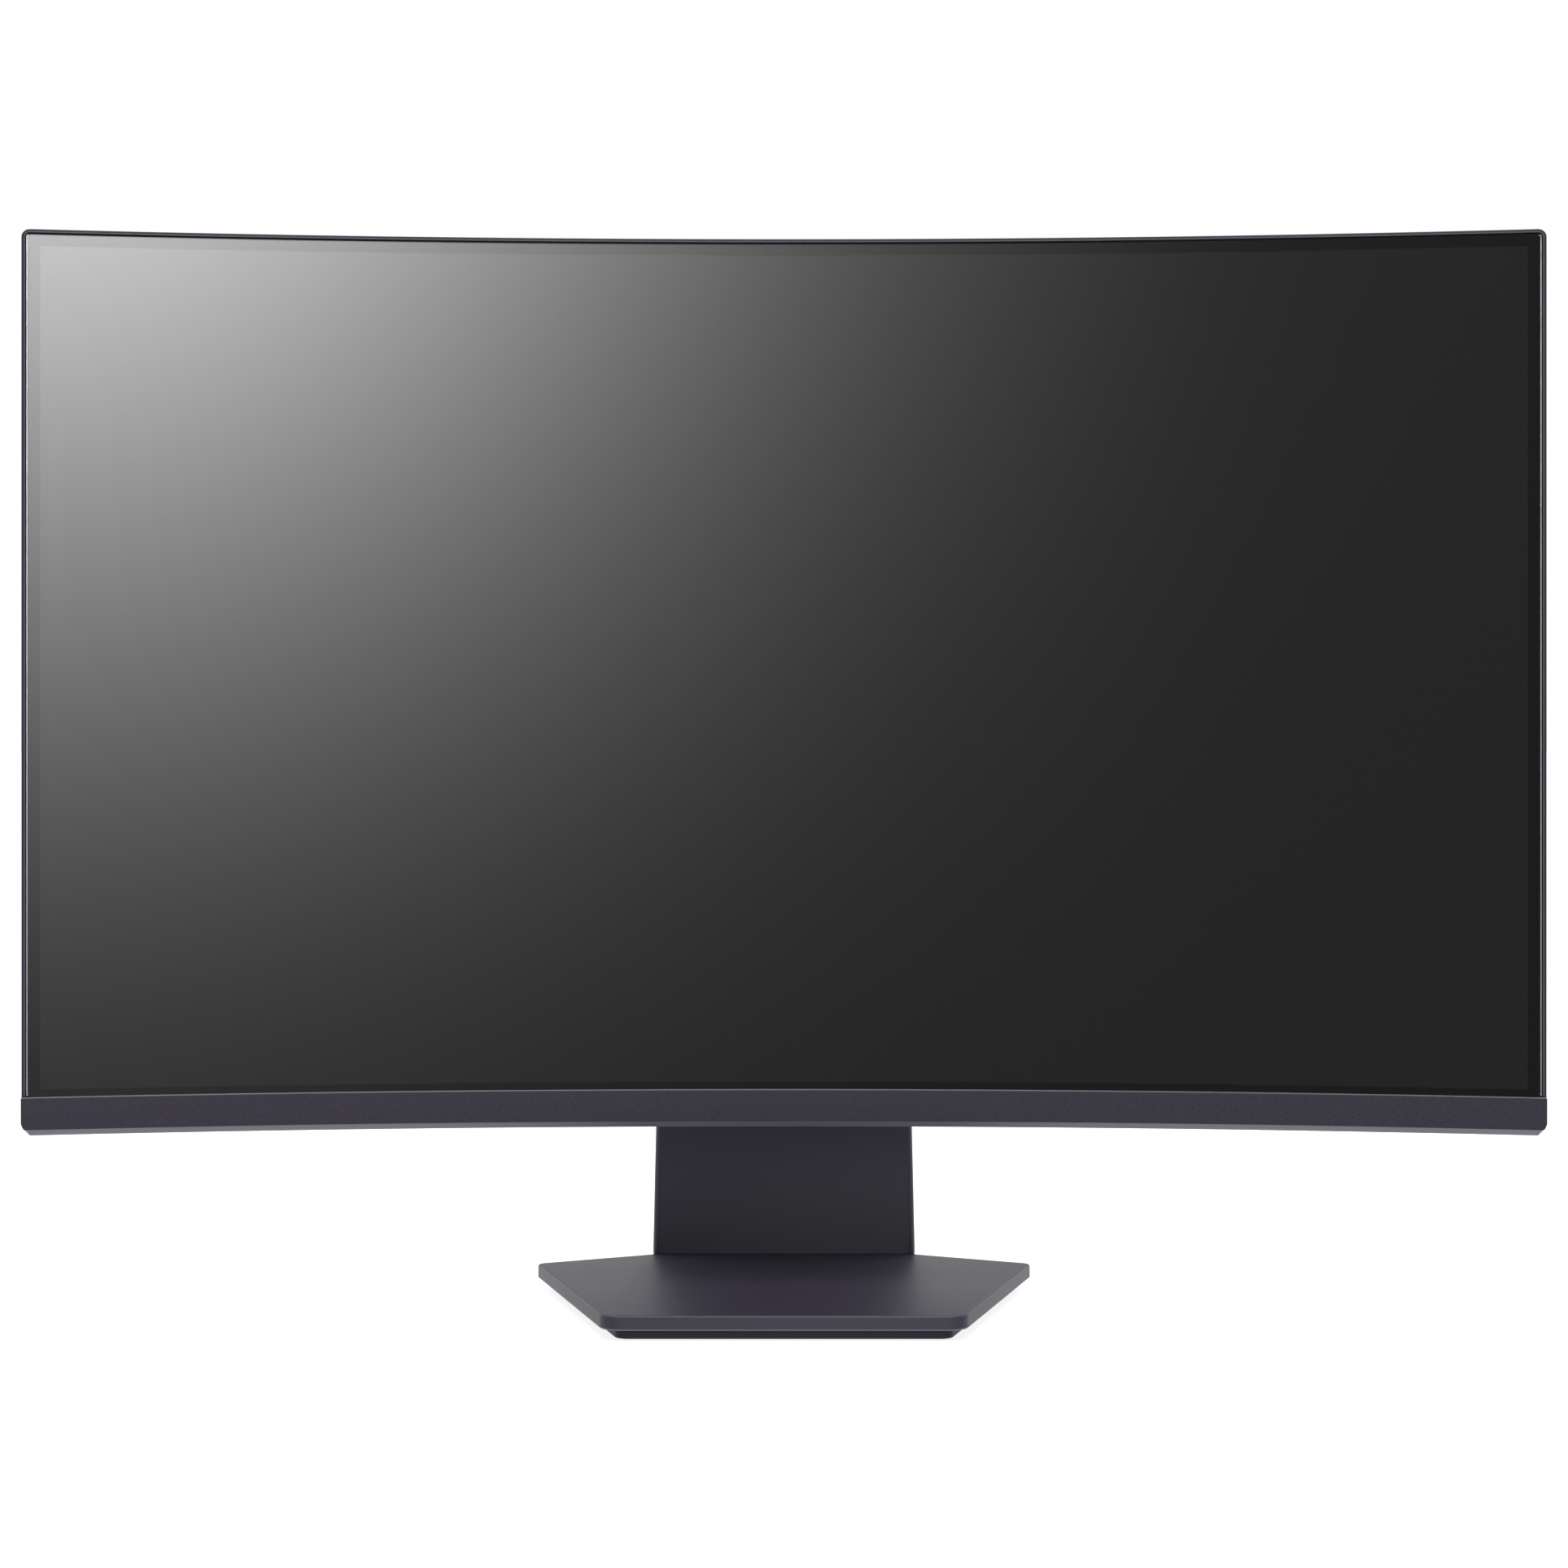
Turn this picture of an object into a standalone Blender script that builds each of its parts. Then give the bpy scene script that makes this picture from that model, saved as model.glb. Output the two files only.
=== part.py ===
"""Curved 31.5 inch desktop monitor on a tilting stand, made of separate pieces.

World frame: metres, +Z up, the screen faces -Y, origin at the bottom centre.
Sizes are given in millimetres and MM turns them into metres. Distances along Y
are drawn from a line 25 mm behind the glass, and DEPTH_SHIFT centres the whole.
Heights are drawn from a line RISE above the desk, and the whole is lifted by it.
A display piece is drawn in the screen's flat frame: x along the screen, y behind
the front of the glass, z as above. It is then bent round the screen's centre of
curvature, or laid rigid against that curve.
"""
import math

import bmesh
import bpy
from mathutils import Matrix, Vector

MM = 0.001
GAP = 0.3
DEPTH_SHIFT = -10.15
RISE = 1.5

# The curved screen
SCREEN_RADIUS = 1800.0
SCREEN_FRONT_Y = -25.0
BEND_STEPS = 20
GLASS_HALF = 354.9
GLASS_BOTTOM = 104.5
GLASS_TOP = 505.6
GLASS_THICKNESS = 1.4

# Front frame and chin
FRAME_HALF = 357.0
FRAME_TOP = 507.8
FRAME_WALL = 1.7
FRAME_FRONT = -0.8
FRAME_BACK = 14.0
FRAME_CORNER = 4.0
CHIN_HALF = 357.45
CHIN_BOTTOM = 85.9
CHIN_FACE_BOTTOM = 88.7
CHIN_TOP = 103.8
CHIN_FRONT = -3.0
CHIN_CUT = (3.5, 5.2)
CHIN_SLOPE_DEPTH = 4.0

# Panel stack behind the glass, as (front, back) depths
SHEETS_Y = (1.7, 2.3)
LIGHT_GUIDE_Y = (2.6, 5.1)
REFLECTOR_Y = (5.4, 5.7)
TRAY_Y = (6.0, 7.0)
STACK_HALF = 350.5
MOULD_HALF = 353.0
TRAY_RIM = 1.0
LED_BAR_Z = (107.9, 110.2)

# Rear cover
COVER_BOTTOM = 88.8
COVER_EDGE_Y = 17.0
COVER_SLAB_Y = 26.0
COVER_HUMP_Y = 48.0
COVER_CHAMFER = 17.0
COVER_WALL = 2.5
COVER_CORNER_CUT = 4.0
HUMP_HALF = 190.0
HUMP_HEIGHT = 132.0
HUMP_SLOPE = 22.0
GRILLE_HALF = 110.0
GRILLE_Z = (447.0, 470.0)
GRILLE_PITCH = 10.0

# Tilt hinge
HINGE_Y = 55.0
HINGE_Z = 297.0
HINGE_DEPTH = HINGE_Y - SCREEN_FRONT_Y
SHAFT_RADIUS = 5.0
LUG_RADIUS = 12.0
LUG_X = (22.0, 27.0)
KNUCKLE_HALF = 21.4
KNUCKLE_RADIUS = 11.0
BRACKET_PLATE_Y = (78.7, 81.7)
BRACKET_SCREWS = [(x, HINGE_Z + z) for x in (-12.0, 12.0) for z in (-14.0, 14.0)]

# Wall-mount interface: four M4 threads on a 100 mm square
VESA_HALF = 50.0
VESA_PLATE_Y = (44.5, 46.5)
VESA_PLATE_HALF = 60.0
TILT_PLATE_Y = (46.8, 49.8)
M4_RADIUS = 2.0

# Stand neck
NECK_FRONT_Y = 69.0
NECK_SPLIT_Y = 84.0
NECK_BACK_Y = 99.0
NECK_TOP = 357.0
NECK_FOOT_HALF = 66.0
NECK_TOP_HALF = 58.0
NECK_WALL = 2.5
CORE_Y = (82.0, 84.5)
CLIP_Z = (118.0, 132.0)
CLIP_RADIUS = 13.0

# Base; each corner is (x, y, radius) on the +X side
BASE_CORNERS = (
    (82.0, -105.0, 9.5),
    (122.3, 40.6, 5.0),
    (68.0, 68.2, 3.0),
    (62.0, 105.0, 6.0),
)
BASE_TOP = 10.2
BASE_RIM = 4.4
BASE_WALL = 2.2
TRAY_INSET = 6.0
TRAY_BOTTOM = -1.1
STEEL_PLATE_Z = (4.7, 7.7)
FOOT_RADIUS = 7.0
FOOT_BOTTOM = -RISE
FOOT_TOP = 0.7
FOOT_PLACES = (
    (-60.0, -86.0), (60.0, -86.0),
    (-98.0, 38.0), (98.0, 38.0),
    (-44.0, 88.0), (44.0, 88.0),
)
THUMB_Y = 77.3
THUMB_RECESS = 18.0
RING_Z = 2.0
RING_WIRE = 0.6

# Connectors, each as (name, local x, half width, half height, socket half width, half height)
IO_X = -75.0
IO_Z = 137.0
IO_HALF = 67.0
IO_HALF_HEIGHT = 7.5
IO_PLATE_Y = (22.8, 23.8)
BOARD_Y = (10.0, 11.6)
PORT_Y = (11.9, 23.7)
FLAT_PORTS = (
    ("hdmi_port_1", -30.0, 8.0, 3.6, 7.0, 2.3),
    ("hdmi_port_2", -7.0, 8.0, 3.6, 7.0, 2.3),
    ("displayport", 17.0, 8.9, 3.6, 8.0, 2.4),
)
ROUND_PORTS = (
    ("dc_inlet", -54.0, 5.5, 3.7, 1.0),
    ("headphone_jack", 42.0, 3.6, 1.8, 0.0),
)

# Rear joystick
STICK_X = 290.0
STICK_Z = 150.0
STICK_PIVOT_Y = 16.0
STICK_HOLE = 8.0

WHITE_PLASTIC = ((0.8, 0.8, 0.78), 0.5, 0.0)
DARK_PLASTIC = ((0.058, 0.055, 0.072), 0.5, 0.0)
BLACK_PLASTIC = ((0.02, 0.02, 0.023), 0.5, 0.0)
GLASS = ((0.03, 0.03, 0.035), 0.12, 0.0)
CLEAR = ((0.85, 0.88, 0.9), 0.1, 0.0)
STEEL = ((0.55, 0.55, 0.56), 0.35, 1.0)
SHEET_STEEL = ((0.42, 0.43, 0.44), 0.45, 1.0)
BOARD = ((0.02, 0.12, 0.06), 0.5, 0.0)
RUBBER = ((0.03, 0.03, 0.03), 0.85, 0.0)
RIBBON = ((0.75, 0.72, 0.6), 0.5, 0.0)


def clear_scene():
    """Removes every object, so that the script gives the same result each run."""
    for obj in list(bpy.data.objects):
        bpy.data.objects.remove(obj)


def new_collection(name):
    """Makes a collection under the scene's own."""
    made = bpy.data.collections.new(name)
    bpy.context.scene.collection.children.link(made)
    return made


clear_scene()
PARTS = new_collection("computer_monitor")
CUTTERS = new_collection("cutters")


def paint(obj, look):
    """Gives a piece its own Principled material."""
    colour, roughness, metallic = look
    made = bpy.data.materials.new(obj.name)
    made.use_nodes = True
    shader = made.node_tree.nodes["Principled BSDF"]
    shader.inputs["Base Color"].default_value = (*colour, 1.0)
    shader.inputs["Roughness"].default_value = roughness
    shader.inputs["Metallic"].default_value = metallic
    obj.data.materials.append(made)


def block(bm, x, y, z):
    """Adds a box that spans three (low, high) pairs, in millimetres."""
    low = Vector((x[0], y[0], z[0])) * MM
    high = Vector((x[1], y[1], z[1])) * MM
    size = (high - low).to_4d()
    size.w = 1.0
    matrix = Matrix.Translation((low + high) / 2) @ Matrix.Diagonal(size)
    bmesh.ops.create_cube(bm, size=1.0, matrix=matrix)


def rod(bm, start, end, radius, sides=16):
    """Adds a cylinder between two points, in millimetres."""
    start = Vector(start) * MM
    end = Vector(end) * MM
    turn = (end - start).to_track_quat("Z", "Y").to_matrix().to_4x4()
    bmesh.ops.create_cone(
        bm, cap_ends=True, segments=sides, radius1=radius * MM, radius2=radius * MM,
        depth=(end - start).length, matrix=Matrix.Translation((start + end) / 2) @ turn)


def boxes(*spans):
    """Returns a mesh builder for one or more boxes, which must not touch."""
    def build(bm):
        for span in spans:
            block(bm, *span)
    return build


def rods(*ends, sides=16):
    """Returns a mesh builder for cylinders, each given as (start, end, radius)."""
    def build(bm):
        for start, end, radius in ends:
            rod(bm, start, end, radius, sides)
    return build


def piece(name, build, look=None):
    """Makes an object from a builder; without a look it is a hidden cutter."""
    mesh = bpy.data.meshes.new(name)
    bm = bmesh.new()
    build(bm)
    bm.to_mesh(mesh)
    bm.free()
    obj = bpy.data.objects.new(name, mesh)
    if look is None:
        CUTTERS.objects.link(obj)
        obj.hide_render = True
        obj.display_type = "WIRE"
    else:
        PARTS.objects.link(obj)
        paint(obj, look)
    return obj


def combine(obj, build, operation):
    """Cuts or joins a builder's shape with a Boolean modifier."""
    tool = piece(obj.name + "_tool", build)
    modifier = obj.modifiers.new(operation.lower(), "BOOLEAN")
    modifier.operation = operation
    modifier.solver = "EXACT"
    modifier.object = tool


def cut(obj, build):
    """Takes a builder's shape away from a piece."""
    combine(obj, build, "DIFFERENCE")


def join(obj, build):
    """Adds a builder's shape to a piece as one body."""
    combine(obj, build, "UNION")


def solidify(obj, thickness):
    """Thickens an open surface inward."""
    modifier = obj.modifiers.new("wall", "SOLIDIFY")
    modifier.thickness = thickness * MM
    modifier.offset = -1.0
    modifier.use_even_offset = True


def apply_modifiers(obj):
    """Turns a piece into its evaluated mesh and removes the tools it used."""
    bpy.context.view_layer.update()
    depsgraph = bpy.context.evaluated_depsgraph_get()
    mesh = bpy.data.meshes.new_from_object(obj.evaluated_get(depsgraph))
    tools = [m.object for m in obj.modifiers if m.type == "BOOLEAN"]
    obj.modifiers.clear()
    mesh.transform(obj.matrix_basis)
    obj.matrix_basis = Matrix.Identity(4)
    obj.data = mesh
    for tool in tools:
        bpy.data.objects.remove(tool)


def round_edges(obj, chosen, width, segments=2):
    """Bevels the edges whose two ends, in millimetres, satisfy the given test."""
    apply_modifiers(obj)
    bm = bmesh.new()
    bm.from_mesh(obj.data)
    edges = [e for e in bm.edges if chosen(e.verts[0].co / MM, e.verts[1].co / MM)]
    bmesh.ops.bevel(
        bm, geom=edges, offset=width * MM, segments=segments, profile=0.5,
        affect="EDGES", clamp_overlap=True)
    bm.to_mesh(obj.data)
    bm.free()


def bend(obj):
    """Bends a flat display piece round the screen's centre of curvature."""
    apply_modifiers(obj)
    bm = bmesh.new()
    bm.from_mesh(obj.data)
    low = min(v.co.x for v in bm.verts)
    high = max(v.co.x for v in bm.verts)
    for step in range(1, BEND_STEPS):
        x = (2.0 * step / BEND_STEPS - 1.0) * FRAME_HALF * MM
        if low + MM < x < high - MM:
            geometry = bm.verts[:] + bm.edges[:] + bm.faces[:]
            bmesh.ops.bisect_plane(
                bm, geom=geometry, dist=0.00001, plane_co=(x, 0, 0), plane_no=(1, 0, 0))
    for vert in bm.verts:
        angle = vert.co.x / (SCREEN_RADIUS * MM)
        radius = SCREEN_RADIUS * MM + vert.co.y
        vert.co.x = radius * math.sin(angle)
        vert.co.y = radius * math.cos(angle) + (SCREEN_FRONT_Y - SCREEN_RADIUS) * MM
    bm.to_mesh(obj.data)
    bm.free()
    return obj


def lay(obj, x=0.0):
    """Lays a rigid display piece against the screen's curve at the arc length x."""
    apply_modifiers(obj)
    swing = Matrix.Rotation(-x / SCREEN_RADIUS, 4, "Z")
    to_centre = Matrix.Translation((0, (SCREEN_FRONT_Y - SCREEN_RADIUS) * MM, 0))
    obj.data.transform(to_centre @ swing @ Matrix.Translation((0, SCREEN_RADIUS * MM, 0)))
    return obj


def smooth(obj):
    """Shades a round piece smooth, keeping edges over 35 degrees sharp."""
    apply_modifiers(obj)
    obj.data.shade_smooth()
    obj.data.set_sharp_from_angle(angle=math.radians(35))
    return obj


def turned(name, profile, place, look, sides=16, closed=False):
    """Spins a (radius, height) profile, listed top to bottom, about its own Z."""
    mesh = bpy.data.meshes.new(name)
    points = [(r * MM, 0.0, h * MM) for r, h in profile]
    edges = [(i, i + 1) for i in range(len(points) - 1)]
    if closed:
        edges.append((len(points) - 1, 0))
    mesh.from_pydata(points, edges, [])
    obj = bpy.data.objects.new(name, mesh)
    PARTS.objects.link(obj)
    screw = obj.modifiers.new("turn", "SCREW")
    screw.steps = sides
    screw.render_steps = sides
    screw.use_merge_vertices = True
    screw.merge_threshold = 0.00001
    obj.matrix_basis = place
    apply_modifiers(obj)
    paint(obj, look)
    return smooth(obj)


def toward(axis, point):
    """Matrix that turns +Z to the given axis and moves the origin to a point in mm."""
    turn = Vector(axis).to_track_quat("Z", "Y").to_matrix().to_4x4()
    return Matrix.Translation(Vector(point) * MM) @ turn


def rounded(corners, steps=4):
    """Outline through (x, y, radius) corners, each one turned into an arc."""
    outline = []
    for index, (x, y, radius) in enumerate(corners):
        here = Vector((x, y, 0))
        last = Vector((*corners[index - 1][:2], 0))
        following = Vector((*corners[(index + 1) % len(corners)][:2], 0))
        back = (last - here).normalized()
        ahead = (following - here).normalized()
        half = back.angle(ahead) / 2
        middle = here + (back + ahead).normalized() * radius / math.sin(half)
        start = here + back * radius / math.tan(half) - middle
        end = here + ahead * radius / math.tan(half) - middle
        for step in range(steps + 1):
            spoke = start.normalized().slerp(end.normalized(), step / steps)
            outline.append(middle + spoke * radius)
    return outline


def base_outline(inset):
    """Rounded outline of the base, moved inward by the inset."""
    right = [Vector(corner) for corner in BASE_CORNERS]
    left = [Vector((-x, y, r)) for x, y, r in reversed(BASE_CORNERS)]
    corners = right + left
    moved = []
    for index, here in enumerate(corners):
        before = (here.xy - corners[index - 1].xy).normalized()
        after = (corners[(index + 1) % len(corners)].xy - here.xy).normalized()
        inward = Vector((-before.y, before.x)), Vector((-after.y, after.x))
        shift = (inward[0] + inward[1]) * inset / (1 + inward[0].dot(inward[1]))
        moved.append((*(here.xy + shift), max(here.z - inset / 2, 1.5)))
    return rounded(moved)


def plate(name, outline, bottom, top, look):
    """Makes a flat plate between two heights from an outline in millimetres."""
    curve = bpy.data.curves.new(name, "CURVE")
    curve.dimensions = "2D"
    curve.fill_mode = "BOTH"
    curve.extrude = (top - bottom) / 2 * MM
    spline = curve.splines.new("POLY")
    spline.points.add(len(outline) - 1)
    for point, place in zip(spline.points, outline):
        point.co = (place.x * MM, place.y * MM, 0.0, 1.0)
    spline.use_cyclic_u = True
    drawn = bpy.data.objects.new(name + "_outline", curve)
    PARTS.objects.link(drawn)
    drawn.location.z = (top + bottom) / 2 * MM
    bpy.context.view_layer.update()
    depsgraph = bpy.context.evaluated_depsgraph_get()
    mesh = bpy.data.meshes.new_from_object(drawn.evaluated_get(depsgraph))
    mesh.transform(drawn.matrix_world)
    bpy.data.objects.remove(drawn)
    bm = bmesh.new()
    bm.from_mesh(mesh)
    bmesh.ops.remove_doubles(bm, verts=bm.verts, dist=0.00001)
    bmesh.ops.dissolve_limit(bm, angle_limit=0.001, verts=bm.verts, edges=bm.edges)
    bmesh.ops.recalc_face_normals(bm, faces=bm.faces)
    bm.to_mesh(mesh)
    bm.free()
    obj = bpy.data.objects.new(name, mesh)
    PARTS.objects.link(obj)
    paint(obj, look)
    return obj


def open_faces(obj, chosen):
    """Removes the faces whose outward normal satisfies the given test."""
    bm = bmesh.new()
    bm.from_mesh(obj.data)
    bm.normal_update()
    gone = [face for face in bm.faces if chosen(face.normal)]
    bmesh.ops.delete(bm, geom=gone, context="FACES")
    bm.to_mesh(obj.data)
    bm.free()


# ---------------------------------------------------------------- display front

def front_frame():
    """Thin frame round the sides and top of the glass, proud by under a millimetre."""
    obj = piece("front_frame", boxes((
        (-FRAME_HALF, FRAME_HALF), (FRAME_FRONT, FRAME_BACK), (CHIN_TOP + GAP, FRAME_TOP))),
        DARK_PLASTIC)
    round_edges(
        obj, lambda a, b: a.z > FRAME_TOP - 1 and b.z > FRAME_TOP - 1
        and abs(a.x - b.x) < 1, FRAME_CORNER, 3)
    inner = FRAME_HALF - FRAME_WALL
    cut(obj, boxes((
        (-inner, inner), (-10, FRAME_BACK + 10), (CHIN_TOP - 10, FRAME_TOP - FRAME_WALL + 0.2))))
    round_edges(
        obj, lambda a, b: a.y < FRAME_FRONT + 0.01 and b.y < FRAME_FRONT + 0.01
        and max(a.z, b.z) > CHIN_TOP + 1, 0.7)
    return bend(obj)


def chin():
    """Hollow bar under the glass with a sloping lower edge and cut corners."""
    obj = piece("chin", boxes((
        (-CHIN_HALF, CHIN_HALF), (CHIN_FRONT, FRAME_BACK), (CHIN_BOTTOM, CHIN_TOP))),
        DARK_PLASTIC)
    round_edges(
        obj, lambda a, b: a.y < 0 and b.y < 0 and a.z > CHIN_TOP - 1 and b.z > CHIN_TOP - 1,
        1.2, 3)
    bm = bmesh.new()
    bm.from_mesh(obj.data)
    slope = Vector((0, -(CHIN_FACE_BOTTOM - CHIN_BOTTOM), -CHIN_SLOPE_DEPTH))
    cuts = [(Vector((0, CHIN_FRONT, CHIN_FACE_BOTTOM)), slope)]
    for side in (-1, 1):
        corner = Vector((side * (CHIN_HALF - CHIN_CUT[0]), 0, CHIN_BOTTOM))
        cuts.append((corner, Vector((side * CHIN_CUT[1], 0, -CHIN_CUT[0]))))
    for point, normal in cuts:
        geometry = bm.verts[:] + bm.edges[:] + bm.faces[:]
        made = bmesh.ops.bisect_plane(
            bm, geom=geometry, dist=0.000001, plane_co=point * MM, plane_no=normal,
            clear_outer=True)
        rim = [e for e in made["geom_cut"] if isinstance(e, bmesh.types.BMEdge)]
        bmesh.ops.edgeloop_fill(bm, edges=rim)
    bmesh.ops.recalc_face_normals(bm, faces=bm.faces)
    bm.to_mesh(obj.data)
    bm.free()
    cut(obj, boxes((
        (-CHIN_HALF + 8, CHIN_HALF - 8), (CHIN_FRONT + 2.5, FRAME_BACK + 5),
        (CHIN_BOTTOM + 4.5, CHIN_TOP - 2.2))))
    return bend(obj)


def slab(name, half, depth, low, high, look):
    """Bent sheet of the panel stack."""
    return bend(piece(name, boxes(((-half, half), depth, (low, high))), look))


def panel_stack():
    """Glass cell, films, light guide, reflector, moulding, tray and LED bar."""
    rim = GLASS_HALF - STACK_HALF
    low = GLASS_BOTTOM + rim
    high = GLASS_TOP - rim
    moulding = piece("panel_moulding", boxes((
        (-MOULD_HALF, MOULD_HALF), (SHEETS_Y[0], REFLECTOR_Y[1]),
        (GLASS_BOTTOM + 1.3, GLASS_TOP - 1.3))), WHITE_PLASTIC)
    cut(moulding, boxes((
        (-STACK_HALF - GAP, STACK_HALF + GAP), (0, 20), (low - 1.2, high + GAP))))
    tray = piece("panel_tray", boxes((
        (-GLASS_HALF, GLASS_HALF), (SHEETS_Y[0], TRAY_Y[1]), (GLASS_BOTTOM, GLASS_TOP))),
        SHEET_STEEL)
    cut(tray, boxes((
        (-GLASS_HALF + TRAY_RIM, GLASS_HALF - TRAY_RIM), (-5, TRAY_Y[0]),
        (GLASS_BOTTOM + TRAY_RIM, GLASS_TOP - TRAY_RIM))))
    above_leds = LED_BAR_Z[1] + GAP
    return [
        slab("lcd_panel", GLASS_HALF, (0, GLASS_THICKNESS), GLASS_BOTTOM, GLASS_TOP, GLASS),
        slab("optical_films", STACK_HALF, SHEETS_Y, low, high, WHITE_PLASTIC),
        slab("light_guide", STACK_HALF, LIGHT_GUIDE_Y, above_leds, high, CLEAR),
        slab("reflector_sheet", STACK_HALF, REFLECTOR_Y, low, high, WHITE_PLASTIC),
        slab("led_bar", STACK_HALF - 4, LIGHT_GUIDE_Y, *LED_BAR_Z, WHITE_PLASTIC),
        bend(moulding),
        bend(tray),
    ]


# ----------------------------------------------------------------- display rear

def cover_depth(x, z):
    """Depth of the rear cover's outer surface at a place in the flat frame."""
    from_edge = min(FRAME_HALF - abs(x), z - COVER_BOTTOM, FRAME_TOP - z)
    slab_part = min(from_edge / COVER_CHAMFER, 1.0)
    from_hump = min(HUMP_HALF - abs(x), HUMP_HEIGHT - abs(z - HINGE_Z))
    hump_part = max(min(from_hump / HUMP_SLOPE, 1.0), 0.0)
    rise = (COVER_SLAB_Y - COVER_EDGE_Y) * slab_part
    return COVER_EDGE_Y + rise + (COVER_HUMP_Y - COVER_SLAB_Y) * hump_part


def split_corners(bm, half, slope, low, high):
    """Cuts the four corner squares of a sloping border along their mitres."""
    for side in (-1, 1):
        for edge, inward in ((low, slope), (high, -slope)):
            ends = ((side * half, edge), (side * (half - slope), edge + inward))
            found = []
            for x, z in ends:
                place = Vector((x, COVER_SLAB_Y, HINGE_Z + z)) * MM
                found.append(min(bm.verts, key=lambda vert: (vert.co - place).length))
            bmesh.ops.connect_vert_pair(bm, verts=found)


def rear_cover():
    """Shell with a chamfered rim and a raised middle, open at the front."""
    def build(bm):
        block(
            bm, (-FRAME_HALF, FRAME_HALF), (FRAME_BACK + GAP, COVER_SLAB_Y),
            (COVER_BOTTOM, FRAME_TOP))
        lines_x = [FRAME_HALF - COVER_CHAMFER, HUMP_HALF, HUMP_HALF - HUMP_SLOPE]
        lines_z = [HUMP_HEIGHT, HUMP_HEIGHT - HUMP_SLOPE]
        planes = [(Vector((s * x, 0, 0)), (1, 0, 0)) for x in lines_x for s in (-1, 1)]
        planes += [(Vector((0, 0, HINGE_Z + s * z)), (0, 0, 1)) for z in lines_z for s in (-1, 1)]
        planes.append((Vector((0, 0, COVER_BOTTOM + COVER_CHAMFER)), (0, 0, 1)))
        planes.append((Vector((0, 0, FRAME_TOP - COVER_CHAMFER)), (0, 0, 1)))
        for point, normal in planes:
            geometry = bm.verts[:] + bm.edges[:] + bm.faces[:]
            bmesh.ops.bisect_plane(
                bm, geom=geometry, dist=0.000001, plane_co=point * MM, plane_no=normal)
        front = [f for f in bm.faces if f.normal.y < -0.9]
        bmesh.ops.delete(bm, geom=front, context="FACES")
        split_corners(bm, HUMP_HALF, HUMP_SLOPE, -HUMP_HEIGHT, HUMP_HEIGHT)
        split_corners(
            bm, FRAME_HALF, COVER_CHAMFER, COVER_BOTTOM - HINGE_Z, FRAME_TOP - HINGE_Z)
        for vert in bm.verts:
            if vert.co.y > (COVER_SLAB_Y - 1) * MM:
                vert.co.y = cover_depth(vert.co.x / MM, vert.co.z / MM) * MM

    obj = piece("rear_cover", build, DARK_PLASTIC)
    solidify(obj, COVER_WALL)
    bracket = VESA_PLATE_HALF + 2
    cut(obj, boxes(
        ((-bracket, bracket), (20, 60), (HINGE_Z - bracket, HINGE_Z + bracket)),
        ((IO_X - IO_HALF - 0.5, IO_X + IO_HALF + 0.5), (20, 60),
         (IO_Z - IO_HALF_HEIGHT - 0.5, IO_Z + IO_HALF_HEIGHT + 0.5)),
        ((-GRILLE_HALF - GAP, GRILLE_HALF + GAP), (20, 60),
         (GRILLE_Z[0] - GAP, GRILLE_Z[1] + GAP))))
    cut(obj, rods(((STICK_X, 20, STICK_Z), (STICK_X, 40, STICK_Z), STICK_HOLE), sides=24))
    corners = [(side * FRAME_HALF, COVER_BOTTOM) for side in (-1, 1)]
    cut(obj, rods(
        *[((x, 5, z), (x, 40, z), COVER_CORNER_CUT) for x, z in corners], sides=4))
    return bend(obj)


def vent_grille():
    """Slotted strip that lets the warm air out near the top."""
    obj = piece("vent_grille", boxes((
        (-GRILLE_HALF, GRILLE_HALF), (COVER_SLAB_Y - COVER_WALL, COVER_SLAB_Y - 0.3),
        GRILLE_Z)), BLACK_PLASTIC)
    count = int(2 * GRILLE_HALF / GRILLE_PITCH) - 1
    slots = []
    for index in range(count):
        x = (index - (count - 1) / 2) * GRILLE_PITCH
        slots.append(((x - 2.5, x + 2.5), (15, 40), (GRILLE_Z[0] + 3, GRILLE_Z[1] - 3)))
    cut(obj, boxes(*slots))
    return bend(obj)


def vesa_bracket():
    """Steel channel that carries the display: a rear plate and two side flanges."""
    side = VESA_PLATE_HALF
    obj = piece("vesa_bracket", boxes((
        (-side, side), (TRAY_Y[1] + GAP, VESA_PLATE_Y[1]), (HINGE_Z - side, HINGE_Z + side))),
        SHEET_STEEL)
    cut(obj, boxes(
        ((-side + 2.5, side - 2.5), (-5, VESA_PLATE_Y[0]), (HINGE_Z - 90, HINGE_Z + 90))))
    cut(obj, corner_rods(VESA_PLATE_Y[0] - 5, VESA_PLATE_Y[1] + 5, M4_RADIUS + GAP))
    return lay(obj)


def corner_rods(front, back, radius):
    """Builder for four rods along Y at the corners of the mounting square."""
    ends = []
    for x in (-VESA_HALF, VESA_HALF):
        for z in (HINGE_Z - VESA_HALF, HINGE_Z + VESA_HALF):
            ends.append(((x, front, z), (x, back, z), radius))
    return rods(*ends, sides=12)


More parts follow.
